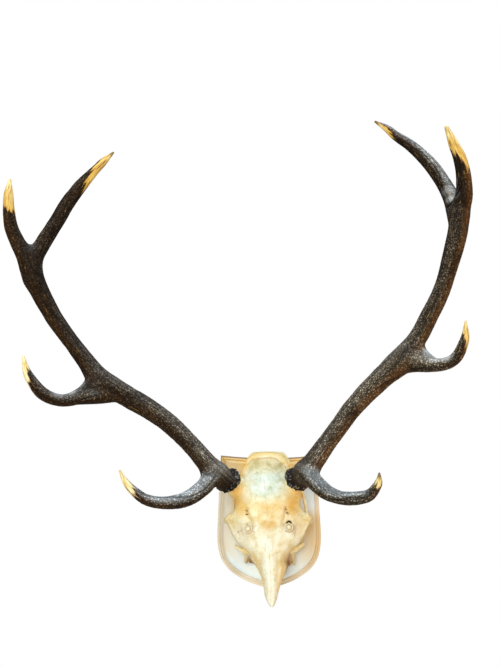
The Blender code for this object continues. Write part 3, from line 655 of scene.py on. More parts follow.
def antlerMaterial():
    # Antler is bone stained dark by sap and soil: beads are rubbed lighter, grooves stay dark, dust
    # and painted sky sheen grey the sides that face up, and the ends are polished to bare golden
    # ivory.
    made, tree, shader = startMaterial("stained antler, rubbed bright at the ends")
    look = {name: addNode(tree, "Attribute", out="Fac", attribute_name=name)
            for name in ("bead", "groove", "polish", "pale", "dustAndSheen", "coolSkyTint", "warmReflection", "crown",
                         "knobGlint", "upper", "crease", "sheen", "tipEnd", "calm", "joint")}
    fibre = addNode(tree, "Attribute", out="Vector", attribute_name="fibre")
    place = addNode(tree, "TexCoord", out="Object")
    # fibres 1.6 mm apart and 22 mm long, and coarse ones 3 mm apart and 38 mm long: about twice
    # as wide as the real ones, so that they show
    fine, wide, longer = [addNode(tree, "Mapping", {"Vector": fibre, "Scale": scale})
                          for scale in ((45, 620, 620), (26, 330, 330), (0.6, 1, 1))]
    grain, coarse, mottle = [
        addNode(tree, "TexNoise", {"Vector": source, "Scale": scale, "Detail": detail,
                                   "Roughness": rough})
        for source, scale, detail, rough in ((fine, 1.0, 4.0, 0.6), (wide, 1.0, 3.0, 0.55),
                                             (place, 120.0, 4.0, 0.7))]
    # specks 1.9 mm and glints 4 mm apart and 1.7 times as long, a little coarser than the real
    # ones so that they show; where branches meet and their fibres cross, they are round
    speck, glint = [
        addNode(tree, "Mix", {0: look["joint"],
                              6: addNode(tree, "TexVoronoi", {"Vector": longer, "Scale": scale}),
                              7: addNode(tree, "TexVoronoi", {"Vector": place, "Scale": scale})},
                2, data_type="RGBA") for scale in (520.0, 250.0)]
    toneStops = (
        ("low", mottle, ((0.30, "#0c0806"), (0.5, "#19120c"), (0.70, "#2d2218"))),
        ("high", mottle, ((0.30, "#090502"), (0.5, "#140b05"), (0.70, "#28170a"))),
        ("grain", grain, ((0.35, "#000000"), (0.65, "#ffffff"))),
        ("speck", speck, ((0.20, "#ffffff"), (0.54, "#000000"))),
        ("bead", look["bead"], ((0.32, "#000000"), (0.66, "#ffffff"))),
        ("glint", glint, ((0.12, "#ffffff"), (0.26, "#000000"))),
        ("knobGlint", look["knobGlint"], ((0.40, "#000000"), (0.75, "#ffffff"))),
        ("ivory", coarse, ((0.34, "#8a571c"), (0.45, "#cd9733"), (0.56, "#eac355"),
                           (0.72, "#f6dd80"))),
        ("bare", coarse, ((0.32, "#c8a04e"), (0.46, "#efdc96"), (0.62, "#fbf6cc"))))
    tones = {name: addNode(tree, "ValToRGB", {"Fac": source}, stops=stops)
             for name, source, stops in toneStops}
    colour = addNode(tree, "Mix", {0: look["upper"], 6: tones["low"], 7: tones["high"]}, 2,
                     data_type="RGBA")
    colour = addNode(tree, "Mix", {0: 0.30, 6: colour, 7: tones["grain"]}, 2, data_type="RGBA",
                     blend_type="OVERLAY")
    # the tops of beads, each broken up by finer specks
    tops = addNode(tree, "Mix", {0: 0.80, 6: tones["bead"], 7: tones["speck"]}, 2,
                   data_type="RGBA", blend_type="MULTIPLY")
    calmShare = addNode(tree, "Math", {0: look["calm"], 1: 0.75}, operation="MULTIPLY")
    tops = addNode(tree, "Mix", {0: calmShare, 6: tops, 7: "#4a4a4a"}, 2, data_type="RGBA")
    plain = addNode(tree, "MapRange", {"Value": look["upper"], "To Min": 0.27, "To Max": 0.11})
    # dust and painted sky sheen: its floor rises, and it turns bluer, where the painted sky tint is
    dustAndSheenFloor = addNode(tree, "MapRange", {"Value": look["coolSkyTint"], "To Min": 0.11, "To Max": 0.27})
    warmReflectionTops, dustAndSheenTops, sheenTops = [
        addNode(tree, "MapRange", {"Value": tops, "To Min": low, "To Max": high})
        for low, high in ((0.40, 1.0), (dustAndSheenFloor, 1.65), (0.60, 1.0))]
    # painted warm reflection: golden brown, brightest on the tops of beads
    warmReflectionTone = addNode(tree, "ValToRGB", {"Fac": tops},
                        stops=((0.15, "#8a5a28"), (0.85, "#dca968")))
    dustAndSheenTone = addNode(tree, "Mix", {0: look["coolSkyTint"], 6: "#bdab8a", 7: "#dfe9ea"}, 2,
                       data_type="RGBA")
    # each layer covers the ones before it by amount times share: bead tops, painted warm reflection,
    # dust with painted sky sheen, a few bright painted glints, painted sheen, grooves, painted shade
    # in the crease, the dark burr with painted shade under the foot, painted glints on the burr's
    # knobs
    for amount, share, tone in (
            (tops, plain, "#93795a"), (look["warmReflection"], warmReflectionTops, warmReflectionTone),
            (look["dustAndSheen"], dustAndSheenTops, dustAndSheenTone), (look["dustAndSheen"], tones["glint"], "#ddd6c8"),
            (look["sheen"], sheenTops, "#eff5f4"), (look["groove"], 0.55, "#0c0705"),
            (look["crease"], 1.0, "#080503"), (look["crown"], 0.85, "#120d0d"),
            (tones["knobGlint"], 0.50, "#989690")):
        cover = addNode(tree, "Math", {0: amount, 1: share}, operation="MULTIPLY")
        colour = addNode(tree, "Mix", {0: cover, 6: colour, 7: tone}, 2, data_type="RGBA")
    # the bare ends: paler, then browner where they meet the stain, and dark at some tips
    nearStain = addNode(tree, "MapRange", {"Value": look["polish"], "From Min": 0.42,
                                           "From Max": 0.66, "To Min": 0.7, "To Max": 0.0})
    ends = tones["ivory"]
    for cover, tone in ((look["pale"], tones["bare"]), (nearStain, "#a3642a"),
                        (look["tipEnd"], "#66502f")):
        ends = addNode(tree, "Mix", {0: cover, 6: ends, 7: tone}, 2, data_type="RGBA")
    # the stain runs out along the fibres, in fine streaks
    ragged = addNode(tree, "MapRange", {"Value": coarse, "From Min": 0.3, "From Max": 0.7,
                                        "To Min": -0.50, "To Max": 0.50})
    streaks = addNode(tree, "Math", {0: look["polish"], 1: ragged}, operation="ADD")
    shown = addNode(tree, "MapRange", {"Value": streaks, "From Min": 0.40, "From Max": 0.62})
    colour = addNode(tree, "Mix", {0: shown, 6: colour, 7: ends}, 2, data_type="RGBA")
    roughBead = addNode(tree, "MapRange", {"Value": look["bead"], "To Min": 0.62, "To Max": 0.36})
    rough = addNode(tree, "Mix", {0: shown, 2: roughBead, 3: 0.30}, data_type="FLOAT")
    speckHeight = addNode(tree, "Math", {0: 1.0, 1: speck}, operation="SUBTRACT")
    calm = addNode(tree, "MapRange", {"Value": look["polish"], "To Min": 0.65, "To Max": 0.05})
    bumps = addNode(tree, "Bump", {"Height": speckHeight, "Strength": calm, "Distance": 0.0007})
    bumps = addNode(tree, "Bump", {"Height": grain, "Normal": bumps, "Strength": 0.5,
                                   "Distance": 0.0003})
    setSockets(shader, {"Base Color": colour, "Roughness": rough, "Normal": bumps, "IOR": 1.54,
                        "Specular IOR Level": 0.07, "Specular Tint": "#fff0dc"})
    return made


stainedAntler = antlerMaterial()
for sideName, side in sides.items():
    made = makeAntler(sideName + "_antler", side, antler["voxel"])
    finishPiece(made, stainedAntler,
                [sideName + "_" + part for part in ("lower_beam", "brow_tine", "middle_tine",
                                                    "upper_beam", "front_tine", "rear_tine")])


# the skull

skull = {
    "voxel": 0.0011, "quickVoxel": 0.0020, "triangles": 190000,
    "back": 0.0203,  # the saw cut, just off the shield's face
    "midline": -0.0045, "lean": -0.05, "noseBend": 0.0050,
    "washerSeat": 0.0885, "seatReach": (0.0090, 0.0140), "boreRadius": 0.0023,
    "seatFloor": 0.060,  # bone nearer to the wall than this isn't flattened
    "pedicleRadius": 0.0172, "pedicleRootRadius": 0.0250, "pedicleOverlap": 0.008,
    # off the wall: where the face's colours begin, and where the painted shade of the hollows ends
    "faceStarts": (0.046, 0.058), "hollowShadeEnds": (0.036, 0.048),
}
pedicleRoots = {"left": (-0.048, -0.055, 0.050), "right": (0.033, -0.055, 0.052)}
screwPlaces = {"left": (-0.0426, -0.0200), "right": (0.0365, -0.0170)}
# in mm from the crest to the nose: (z, half width at the roof's edge, roof's middle, roof's edge,
# under the edge, half width of the side wall, foot), all but the widths and z off the wall
skullStations = (
    (133.5, 32.5, 68, 60, 46, 29, 18),
    (121, 41, 83, 68, 50, 37, 18),
    (100, 50.5, 95, 72, 56, 43, 18),
    (78, 60, 100, 75, 58, 45, 18),
    (56, 66, 102, 76, 61, 45, 18),
    (35, 63.5, 103, 76, 65, 43, 18),
    (22, 64.5, 102, 74, 65, 42, 18),
    (11, 73, 101, 71, 66, 40, 18),
    (-1, 83, 99, 67, 62, 38, 18),
    (-11, 79.5, 97, 66, 61, 36, 18),
    (-22, 73.5, 95, 64, 59, 36, 18),
    (-33, 69, 93, 62, 57, 40, 18),
    (-44, 61, 91, 60, 53, 43, 18),
    (-54, 49.5, 89, 61, 44, 43, 18),
    (-64, 36.8, 87, 62, 44, 41, 18),
    (-76, 29, 84, 62, 46, 36, 20),
    (-90, 27.2, 81, 62, 46, 29, 24),
    (-102, 22.4, 78, 61, 48, 24, 32),
    (-118, 17.5, 74, 61, 52, 17, 44),
    (-130, 14.6, 71, 60, 55, 13, 54),
    (-143, 11.8, 68, 60, 56, 9.4, 55),
    (-153, 7.6, 66, 60, 57, 5.6, 56),
    (-160.6, 3.4, 64, 60, 58, 2.4, 57),
)
# the snout's two edges aren't mirror images: (z, how far right both lie) in mm
edgeShift = ((-140, 0), (-124, 1.9), (-110, 3.2), (-102, 4), (-90, 3.7),
             (-85, 3), (-76, 0), (-70, -1.1), (-64, 0))
# bars that stand clear of the body, right side, in mm: (x, y, z, radius)
skullBars = {
    "cheekArch": (
        (50, -42, 78, 5), (62, -52, 60, 3.6), (70, -52, 38, 3.4), (73.5, -49, 16, 3.5),
        (72.5, -44, -6, 4), (59, -38, -28, 4.6), (46, -34, -44, 5.6), (36, -32, -52, 7)),
    "orbitPost": (
        (70, -76, 8, 5), (81, -66, -1, 4.2), (80, -56, -4, 3.8), (74, -44, -6, 4.2)),
    "cheekShelf": (
        (68, -42, -43, 3.6), (57, -42, -51, 5.2), (40, -38, -60, 7)),
    # a bar behind the hollow beside the snout, there to take the dark brown painted shade
    "hollowBack": (
        (31, -29, -54, 8.5), (36, -29, -68, 8.8), (36.5, -29, -77, 7.8), (37.2, -29, -85.5, 3.6)),
    "lowerSpike": (
        (43, -37, -55, 5), (45, -34, -68, 4.2), (47, -32, -84, 2.6)),
}
# how much further right and up in mm than mirrored some left bars stand, and how thick they are
leftShift = {"hollowBack": (3.0, 4.5, 1.0), "lowerSpike": (2.2, 3.0, 1.2),
             "cheekShelf": (2.0, -4.0, 0.74), "cheekArch": (4.5, 0.0, 1.0)}
# strokes on the face: (height in mm, half width in mm, edge hardness, (x, z) in mm ...)
reliefStrokes = (
    (2.6, 8.5, 4, (-3, -46), (-2, -70), (0, -97), (1, -123), (1, -155)),  # nasal ridge
    (-1.8, 4.0, 2, (-17, -66), (-19, -88), (-14, -112)),  # beside it
    (-1.8, 4.0, 2, (13, -66), (15, -88), (12, -112)),
    (-2.6, 7.0, 2, (-60, -14), (-57, -27)),  # tear pits
    (-2.6, 7.0, 2, (56, -12), (51, -24)),
    (-2.6, 3.2, 2, (-45, 16), (-41, 4), (-35, -4), (-30, -15)),  # brow furrows
    (-2.6, 3.2, 2, (31, 18), (27, 4), (24, -6), (22, -16)),
    (1.8, 3.2, 2, (-86, 0), (-80, -13), (-73, -30)),  # eye rims
    (1.8, 3.2, 2, (81, 2), (75, -11), (67, -28)),
    (1.8, 4.5, 2, (-80, 4), (-69, 15), (-60, 26)),
    (1.8, 4.5, 2, (74, 6), (64, 16), (54, 26)),
    (1.6, 14.0, 2, (-10, 92), (-9, 62)),  # forehead swell
    (-2.0, 8.0, 2, (-14, 8), (4, 8)),  # dip between the eyes
    (2.4, 3.4, 2, (-46, 106), (-40, 118), (-28, 126), (-5, 129), (20, 126), (30, 116), (38, 104)),
    (-1.8, 4.0, 2, (-38, 108), (-30, 113), (-5, 116), (16, 112), (25, 104)),
    (-1.4, 5.5, 2, (-36, -34), (-27, -52)),  # cheek hollows
    (-1.4, 5.5, 2, (28, -34), (20, -52)),
    (0.7, 2.0, 2, (-24, 98), (-12, 104), (4, 102), (12, 94)),  # swirls on the forehead
    (0.7, 2.0, 2, (-18, 90), (-6, 95), (6, 90)),
    (0.6, 2.0, 2, (-34, 84), (-26, 90), (-22, 84)),
    (0.6, 2.0, 2, (14, 86), (22, 90), (28, 80)),
)
seamStrokes = (  # bone seams: (depth in mm, half width in mm, wiggle in mm, (x, z) in mm ...)
    (0.5, 0.6, 0.7, (-10.5, 74), (-10, 57), (-8.4, 36), (-6, 18), (-5, 2)),
    (0.7, 0.6, 0.3, (-4, -33), (-3, -49), (-1.4, -71), (0.4, -97), (0.7, -123), (0.4, -158)),
    (0.7, 0.6, 0.4, (-4, -33), (-7.4, -42), (-9.6, -52), (-10.5, -62)),
    (0.7, 0.6, 0.4, (-4, -33), (1, -42), (4.4, -50), (5.4, -58)),
    (0.35, 0.6, 0.9, (-50, -21), (-56, -23), (-61, -24)),
    (0.35, 0.6, 0.9, (-36, -22), (-30, -27), (-25, -34)),
    (0.35, 0.6, 0.9, (31, -24), (26, -30), (19, -38)),
    (0.35, 0.6, 1.2, (-40, 80), (-24, 86), (-10, 83), (4, 86), (20, 78)),
    (0.45, 0.7, 0.5, (-44, 104), (-37, 112), (-28, 115), (7, 117), (21, 108), (33, 97)),
)
holeStrokes = (  # small openings, darkened with painted shade: (depth in mm, half width in mm, (x, z) in mm ...)
    (2.0, 0.8, (-47.2, 13.8), (-43.4, 13.2)),
    (2.4, 1.0, (-46.4, 6.4), (-43.0, 7.0)),
    (2.0, 0.8, (29.6, 17.2), (32.2, 15.6)),
    (2.4, 1.0, (31.8, 10.2), (34.8, 8.6)),
    (2.0, 0.9, (-62.2, -24.4), (-62.2, -25.2)),
    (3.2, 1.35, (32.4, -8.6), (36.6, -5.6), (40.8, -8.8)),
    (1.2, 0.9, (-46.0, -12.0), (-43.2, -10.8)),
)
boneMarks = {  # (strength, half width in mm, (x, z) in mm ...)
    "old": (  # olive yellow old bone
        (0.9, 15, (-34, 104), (-8, 108), (20, 102)),
        (1.0, 8, (-38, 120), (-30, 126), (-5, 130), (20, 126), (30, 118)),
        (0.5, 6, (-46, 84), (-40, 92)),
        (0.5, 6, (30, 92), (38, 82)),
        (0.35, 4, (-24, 98), (-12, 104), (4, 102), (12, 94)),
        (0.30, 4, (-18, 90), (-6, 95), (6, 90)),
        (0.30, 3, (-38, 72), (-30, 66)),
        (0.30, 3, (14, 68), (22, 74)),
    ),
    "brownDirtAndShade": (  # brown dirt and painted shade round openings, round the washers and under the cheeks
        (0.55, 3.4, (-46, 15), (-44.5, 6)),
        (0.55, 3.4, (30.5, 18), (33, 8)),
        (0.45, 1.6, (-43, 4), (-37, -4), (-33, -13)),
        (0.50, 1.6, (29, 14), (26.5, 0), (24, -13)),
        (0.46, 9, (-9, -12), (-3, -16), (2, -12)),
        (0.35, 2.0, (-37, -20), (-30, -26)),
        (0.30, 2.2, (-56, -23), (-63, -25)),
        (0.30, 4.0, (36, -6), (40, -9)),
        # rings of painted shade round the washers
        (0.65, 1.3, (-47, -27.5), (-42.6, -29.4), (-36, -26.6), (-33.2, -20), (-35, -14)),
        (0.85, 1.3, (30, -23.6), (36.5, -26.4), (43, -23.6), (45.9, -17), (44, -11)),
        (0.50, 1.8, (-44, 104), (-37, 112), (-28, 115), (7, 117), (21, 108), (33, 97)),
        (0.45, 2.6, (-88, -2), (-84, -7), (-80, -16)),
        (0.45, 2.6, (82, -1), (79, -7), (74, -16)),
        (0.60, 2.2, (-80, -14), (-72, -32), (-63, -45), (-50, -56), (-41, -65)),  # painted shade under the cheeks
        (0.60, 2.2, (75, -14), (67, -31), (58, -44), (45, -55), (36, -64)),
        (0.30, 4.0, (-74, -46), (-62, -56), (-48, -64)),
    ),
    "stain": (  # orange fat stain
        (0.95, 21, (-68, 62), (-66, 42), (-60, 26), (-54, 16)),
        (1.0, 21, (54, 62), (52, 42), (44, 28), (42, 18)),
        (1.0, 11, (-51, 104), (-60, 90), (-68, 72)),
        (1.0, 11, (42, 104), (52, 88), (58, 70)),
        (0.72, 8.5, (-50, 104), (-42, 116), (-30, 123), (-5, 127), (20, 123), (30, 114), (42, 100)),
        (0.70, 16, (-50, 16), (-26, 20), (6, 20), (34, 20)),
        (0.62, 17, (-14, 2), (-5, -10), (4, 2)),
        (0.9, 12, (-12, -11), (-6, -15), (4, -11)),
        (0.50, 8, (-82, 2), (-72, -10), (-66, -28)),
        (0.50, 8, (76, 4), (66, -8), (58, -24)),
        (0.85, 5, (-34, -62), (-28, -74), (-23, -88), (-17, -104), (-13, -118), (-11, -130)),
        (0.95, 5, (29, -62), (26, -74), (27, -88), (22, -104), (18, -118), (14, -130)),
        (0.30, 9, (-60, -36), (-46, -52), (-36, -62)),
        (0.32, 9, (52, -36), (40, -52), (30, -62)),
        (0.95, 4, (-68, -46), (-58, -52), (-44, -60)),  # cheek shelves
        (0.95, 4, (66, -42), (56, -50), (38, -60)),
        (0.95, 3, (-50, -58), (-51, -84)),  # lower spikes
        (0.95, 3, (43, -56), (47, -84)),
    ),
    "pale": (  # bleached, a little green
        (1.0, 22, (-32, 74), (-10, 72), (14, 74)),
        (1.0, 19, (-28, 58), (-10, 47), (10, 58)),
        (0.30, 12, (-20, -20), (-12, -34)),
        (0.30, 12, (12, -20), (6, -34)),
    ),
    "white": (  # bleached to a warm white
        (1.0, 15, (-3, -48), (-2, -66), (0, -110), (0, -160)),
        (0.95, 20, (-52, -26), (-26, -42)),
        (1.0, 20, (44, -26), (20, -42)),
    ),
    "hollow": (  # painted shade, brown, deep beside the snout
        (1.0, 13, (-32, -60), (-38, -88)),
        (1.0, 13, (29, -56), (37, -88)),
    ),
}


def skullMiddle(distance, height):
    nose = min(max((-0.050 - height) / 0.110, 0.0), 1.0)
    return skull["midline"] + skull["lean"] * (distance - 0.100) + skull["noseBend"] * nose


def skullRing(station):
    z, half, top, edge, under, wall, foot = station
    fall = top - edge
    low = max(under - 0.008, foot + 0.001)
    right = ((0.00, top), (0.25 * half, top - 0.03 * fall), (0.50 * half, top - 0.16 * fall),
             (0.72 * half, top - 0.41 * fall), (0.89 * half, top - 0.73 * fall), (half, edge),
             (0.98 * half, under), (0.5 * (half + wall), under - 0.003), (wall, low),
             (wall, 0.5 * (low + foot)), (wall, foot), (0.5 * wall, foot), (0.00, foot))
    ring = list(right) + [(-x, d) for x, d in reversed(right[1:-1])]
    closed = smoothLine(ring[-1:] + ring + ring[:2], 3)[3:-6]
    shift = np.interp(z * 1000, *zip(*edgeShift)) / 1000
    return [Vector((skullMiddle(d, z) + x + shift * abs(x) / half, -d, z)) for x, d in closed]


def skullBody():
    bm = bmesh.new()
    loops = []
    for station in smoothLine(np.array(skullStations) / 1000, 5):
        ring = [bm.verts.new(place) for place in skullRing(station)]
        loops.append([bm.edges.new((a, b)) for a, b in zip(ring, ring[1:] + ring[:1])])
    for upper, lower in zip(loops, loops[1:]):
        bmesh.ops.bridge_loops(bm, edges=upper + lower)
    bmesh.ops.holes_fill(bm, edges=loops[0] + loops[-1], sides=0)
    return meshFrom(bm, "skullBody")


def strongest(x, z, strokes, hardness=2):
    best = np.zeros(len(x))
    for strength, half, *points in strokes:
        far, _ = strokeDistance(x, z, points)
        best = np.maximum(best, strength * np.exp(-(far / half) ** hardness))
    return best


def skullFields(verts):
    x, z = verts[:, 0] * 1000, verts[:, 2] * 1000
    relief = np.zeros(len(x))
    for height, half, hardness, *points in reliefStrokes:
        far, _ = strokeDistance(x, z, points)
        relief += height * np.exp(-(far / half) ** hardness)
    seam = np.zeros(len(x))
    for depth, half, wiggle, *points in seamStrokes:
        far, run = strokeDistance(x + wiggle * np.sin(z * 1.9 + 0.8 * np.sin(z * 0.7)),
                                  z + wiggle * np.sin(x * 2.1 + 0.9 * np.sin(x * 0.6)), points)
        broken = 0.45 + 0.55 * wrapNoise(run / 6, run * 0, 1, len(points))
        seam = np.maximum(seam, depth * broken * np.exp(-(far / half) ** 2))
    swell = sum(share * (wrapNoise(x / size + 50, z / size + 50, 1e6, seed) - 0.5)
                for share, size, seed in ((1.2, 17, 3), (0.7, 8, 5), (0.35, 4, 7)))
    fields = {name: strongest(x, z, strokes) for name, strokes in boneMarks.items()}
    # low: painted shade in the dips of the relief
    fields.update(relief=relief + swell, low=np.clip(-0.5 * (relief + 1.6 * swell), 0, 1),
                  seam=seam, hole=strongest(x, z, holeStrokes, 4))
    return fields


def flatSeats(verts, ways):
    # the bone is flat where each washer lies on it
    for x, z in screwPlaces.values():
        far = np.hypot(verts[:, 0] - x, verts[:, 2] - z)
        share = (1 - ease(*skull["seatReach"], far)) * ease(0.0, 0.3, -ways[:, 1])
        share *= verts[:, 1] < -skull["seatFloor"]
        verts[:, 1] += share * (-skull["washerSeat"] - verts[:, 1])


def screwBores(depth, middle, segments):
    # rods that cut both screws' holes, with their middle so far off the wall
    bm = bmesh.new()
    radius = skull["boreRadius"]
    for x, z in screwPlaces.values():
        addCone(bm, (x, -middle, z), (0, -1, 0), depth, radius, radius, segments)
    return bm


def makeSkull(voxel):
    bodies = [skullBody()]
    for name, bar in skullBars.items():
        bar = np.array(bar) / 1000
        right, up, thick = leftShift.get(name, (0, 0, 1))
        bodies += [roundBar(bar),
                   roundBar([(2 * skullMiddle(-y, 0) - x + right / 1000, y, z + up / 1000,
                              radius * thick) for x, y, z, radius in bar])]
    bm = bmesh.new()
    for sideName, root in pedicleRoots.items():
        way = burrMiddle(sides[sideName]) - Vector(root)
        depth = way.length + skull["pedicleOverlap"]
        addCone(bm, Vector(root) + way.normalized() * depth / 2, way, depth,
                skull["pedicleRootRadius"], skull["pedicleRadius"], 48)
    bodies.append(meshFrom(bm, "pedicles"))
    mesh = meltTogether(joined(bodies, "skull"), voxel, 8)
    verts, ways = readPoints(mesh), readPoints(mesh, "normal")
    fields = skullFields(verts)
    facing = ease(0.05, 0.55, -ways[:, 1])
    verts[:, 1] -= (fields["relief"] - fields["seam"]) * facing / 1000
    flatSeats(verts, ways)
    verts[:, 1] += fields["hole"] * facing / 1000
    writePoints(mesh, verts)
    mesh = slicedOff(mesh, (0, -skull["back"], 0), (0, 1, 0))
    for side in sides.values():
        away = leavingWay(side)
        base = Vector(side["branches"]["beam"][0][:3]) - away * antler["gapToSkull"]
        mesh = slicedOff(mesh, base, away)
    mesh = thinned(mesh, skull["triangles"])
    verts, ways = readPoints(mesh), readPoints(mesh, "normal")
    fields = skullFields(verts)
    facing = ease(0.05, 0.45, -ways[:, 1])
    onFace = ease(*skull["faceStarts"], -verts[:, 1])
    paint(mesh, {"seam": np.clip(fields["seam"] / 0.8, 0, 1) * facing,
                 "hole": np.clip(fields["hole"] / 2.6, 0, 1) * onFace,
                 "stain": np.maximum(fields["stain"] * (0.6 + 0.4 * onFace), 0.50 * (1 - facing)),
                 "white": fields["white"] * onFace,
                 "hollow": fields["hollow"] * (1 - ease(*skull["hollowShadeEnds"], -verts[:, 1])),
                 **{name: fields[name] * facing * onFace
                    for name in ("brownDirtAndShade", "pale", "old", "low")}})
    return newObject("skull_bone", carved(mesh, screwBores(0.12, 0.068, 32)))


def boneMaterial():
    # Boiled and bleached bone: cream, waxy and a little see-through, with fat stains of orange
    # where it was thick, dirt in the seams, and a dull grease shine.
    made, tree, shader = startMaterial("bleached bone, fat stained")
    look = {name: addNode(tree, "Attribute", out="Fac", attribute_name=name)
            for name in ("seam", "hole", "brownDirtAndShade", "stain", "pale", "old", "white", "low", "hollow")}
    place = addNode(tree, "TexCoord", out="Object")
    # blotches about 17 mm across, and pores 1 mm apart, coarser than real ones so that they show
    blotch, broad, fine = [
        addNode(tree, "TexNoise", {"Vector": place, "Scale": scale, "Detail": detail,
                                   "Roughness": rough})
        for scale, detail, rough in ((60.0, 5.0, 0.62), (24.0, 3.0, 0.5), (260.0, 3.0, 0.5))]
    pores = addNode(tree, "TexVoronoi", {"Vector": place, "Scale": 900.0})
    wander = addNode(tree, "MapRange", {"Value": broad, "From Min": 0.3, "From Max": 0.7,
                                        "To Min": 0.80, "To Max": 1.02})
    stained = addNode(tree, "Math", {0: look["stain"], 1: wander}, operation="MULTIPLY")
    toneStops = (
        ("cream", blotch, ((0.34, "#dccb86"), (0.50, "#f1eabe"), (0.64, "#faf8e0"))),
        ("pale", blotch, ((0.33, "#bccab5"), (0.5, "#d4e2d1"), (0.65, "#e5f2ec"))),
        ("old", blotch, ((0.35, "#ab9b5a"), (0.65, "#cfc184"))),
        ("stain", stained, ((0.0, "#f1e4b2"), (0.45, "#f3d48a"), (0.8, "#f2c86c"),
                            (1.0, "#edba52"))),
        ("white", blotch, ((0.32, "#ebe7be"), (0.52, "#fcfce8"))),
        ("fine", fine, ((0.30, "#d2bd88"), (0.50, "#ffffff"))),
        ("hollow", blotch, ((0.35, "#6a3f12"), (0.65, "#a8712a"))))
    tones = {name: addNode(tree, "ValToRGB", {"Fac": source}, stops=stops)
             for name, source, stops in toneStops}
    colour = tones["cream"]
    for amount, share, tone, way in (
            (look["pale"], 1.0, tones["pale"], "MIX"), (look["old"], 1.0, tones["old"], "MIX"),
            (look["stain"], wander, tones["stain"], "MIX"),
            (look["white"], 1.0, tones["white"], "MIX"), (0.29, 1.0, tones["fine"], "MULTIPLY"),
            # painted shade in the dips of the relief, then brown dirt with painted shade
            (look["low"], 0.35, "#d3b268", "MIX"), (look["brownDirtAndShade"], wander, "#b98a3a", "MIX"),
            # painted shade in the hollows beside the snout
            (look["seam"], 0.60, "#7d6a42", "MIX"), (look["hollow"], 1.0, tones["hollow"], "MIX"),
            # painted shade in the small openings
            (look["hole"], 1.0, "#26180c", "MIX")):
        cover = addNode(tree, "Math", {0: amount, 1: share}, operation="MULTIPLY")
        colour = addNode(tree, "Mix", {0: cover, 6: colour, 7: tone}, 2, data_type="RGBA",
                         blend_type=way)
    bumps = addNode(tree, "Bump", {"Height": pores, "Strength": 0.3, "Distance": 0.0002})
    bumps = addNode(tree, "Bump", {"Height": blotch, "Normal": bumps, "Strength": 0.5,
                                   "Distance": 0.0010})
    setSockets(shader, {"Base Color": colour, "Normal": bumps, "Roughness": 0.40, "IOR": 1.54,
                        "Subsurface Weight": 0.10, "Subsurface Scale": 0.004,
                        "Subsurface Radius": (1.0, 0.8, 0.5)})
    return made


skullPiece = makeSkull(skull["voxel"])
finishPiece(skullPiece, boneMaterial(), ["skull"])


# the shield

shield = {
    "halfWidth": 0.105, "top": 0.136, "topMiddle": 0.130, "tip": 0.126, "edge": 0.008,
    "cornerEdge": 0.024, "backBevel": 0.0008,
    "fieldStarts": (0.0156, 0.0174),  # distances off the wall where the flat field begins
    # the moulding, from the board's square side to its field: (inset, rise)
    "moulding": ((0.0006, 0.0006), (0.0022, 0.0003), (0.0016, 0.0007), (0.0010, 0.0012),
                 (0.0006, 0.0018), (0.0004, 0.0010), (0.0012, 0.0000), (0.0006, -0.0008),
                 (0.0008, 0.0000), (0.0006, 0.0018), (0.0008, 0.0018), (0.0010, 0.0014),
                 (0.0014, 0.0010), (0.0018, 0.0007), (0.0024, 0.0005)),
}


def shieldOutline():
    side = ((0.1000, shield["top"]), (0.1022, 0.085), (0.1036, 0.030),
            (shield["halfWidth"], -0.028), (0.1010, -0.058), (0.0930, -0.077),
            (0.0770, -0.095), (0.0490, -0.112), (0.0190, -0.1225), (0.0, -shield["tip"]))
    top = ((0.0, shield["topMiddle"]), (0.030, shield["topMiddle"] + 0.0008),
           (0.065, shield["topMiddle"] + 0.0028), side[0])
    outline = np.vstack([smoothLine(top, 5)[:-1], smoothLine(side, 5)])
    # the edges that meet at the corner stay longer than the whole moulding is wide
    reach = np.hypot(*(outline - np.array(side[0])).T)
    half = outline[(reach < 1e-6) | (reach > shield["cornerEdge"])].tolist()
    return half + [(-x, z) for x, z in reversed(half[1:-1])]


def makeShield():
    bm = bmesh.new()
    board = bm.faces.new([bm.verts.new((x, 0.0, z)) for x, z in shieldOutline()])
    raised = bmesh.ops.extrude_face_region(bm, geom=[board])
    front = [item for item in raised["geom"] if isinstance(item, bmesh.types.BMFace)]
    lifted = [item for item in raised["geom"] if isinstance(item, bmesh.types.BMVert)]
    bmesh.ops.translate(bm, verts=lifted, vec=(0.0, -shield["edge"], 0.0))
    bmesh.ops.recalc_face_normals(bm, faces=bm.faces)
    for inset, rise in shield["moulding"]:
        bmesh.ops.inset_region(bm, faces=front, thickness=inset, depth=rise, use_even_offset=True)
    backRim = [edge for edge in bm.edges if all(abs(vert.co.y) < 1e-6 for vert in edge.verts)]
    bmesh.ops.bevel(bm, geom=backRim, offset=shield["backBevel"], segments=2, affect="EDGES",
                    profile=0.5, material=-1)
    bmesh.ops.triangulate(bm, faces=[face for face in bm.faces if len(face.verts) > 4])
    return carved(meshFrom(bm, "shield_board"), screwBores(0.03, 0.0204, 24))


def shieldFields(mesh):
    # age: warm painted shade at the top, down the right and a little at the left; dirt: painted
    # shade along the top edge; moulding: all but the flat field
    verts = readPoints(mesh)
    x, off, z = verts[:, 0], -verts[:, 1], verts[:, 2]
    flat = ease(*shield["fieldStarts"], off)
    toTop = ease(0.060, 0.118, z + 0.10 * np.abs(x))
    toRight = ease(-0.020, 0.062, x) * ease(-0.105, -0.035, z) * (1 - 0.35 * ease(0.080, 0.095, x))
    toRight *= 1 - 0.9 * ease(0.000, 0.036, z)
    toLeft = 0.56 * ease(0.030, 0.070, -x) * ease(-0.078, -0.052, z) * flat
    crestLine = shield["topMiddle"] + (shield["top"] - shield["topMiddle"]) * (x / 0.1) ** 2
    paint(mesh, {"paintedShade": np.maximum(np.maximum(toTop, toRight), toLeft),
                 "dirtAndShade": ease(crestLine - 0.0040, crestLine - 0.0015, z), "moulding": 1 - flat})


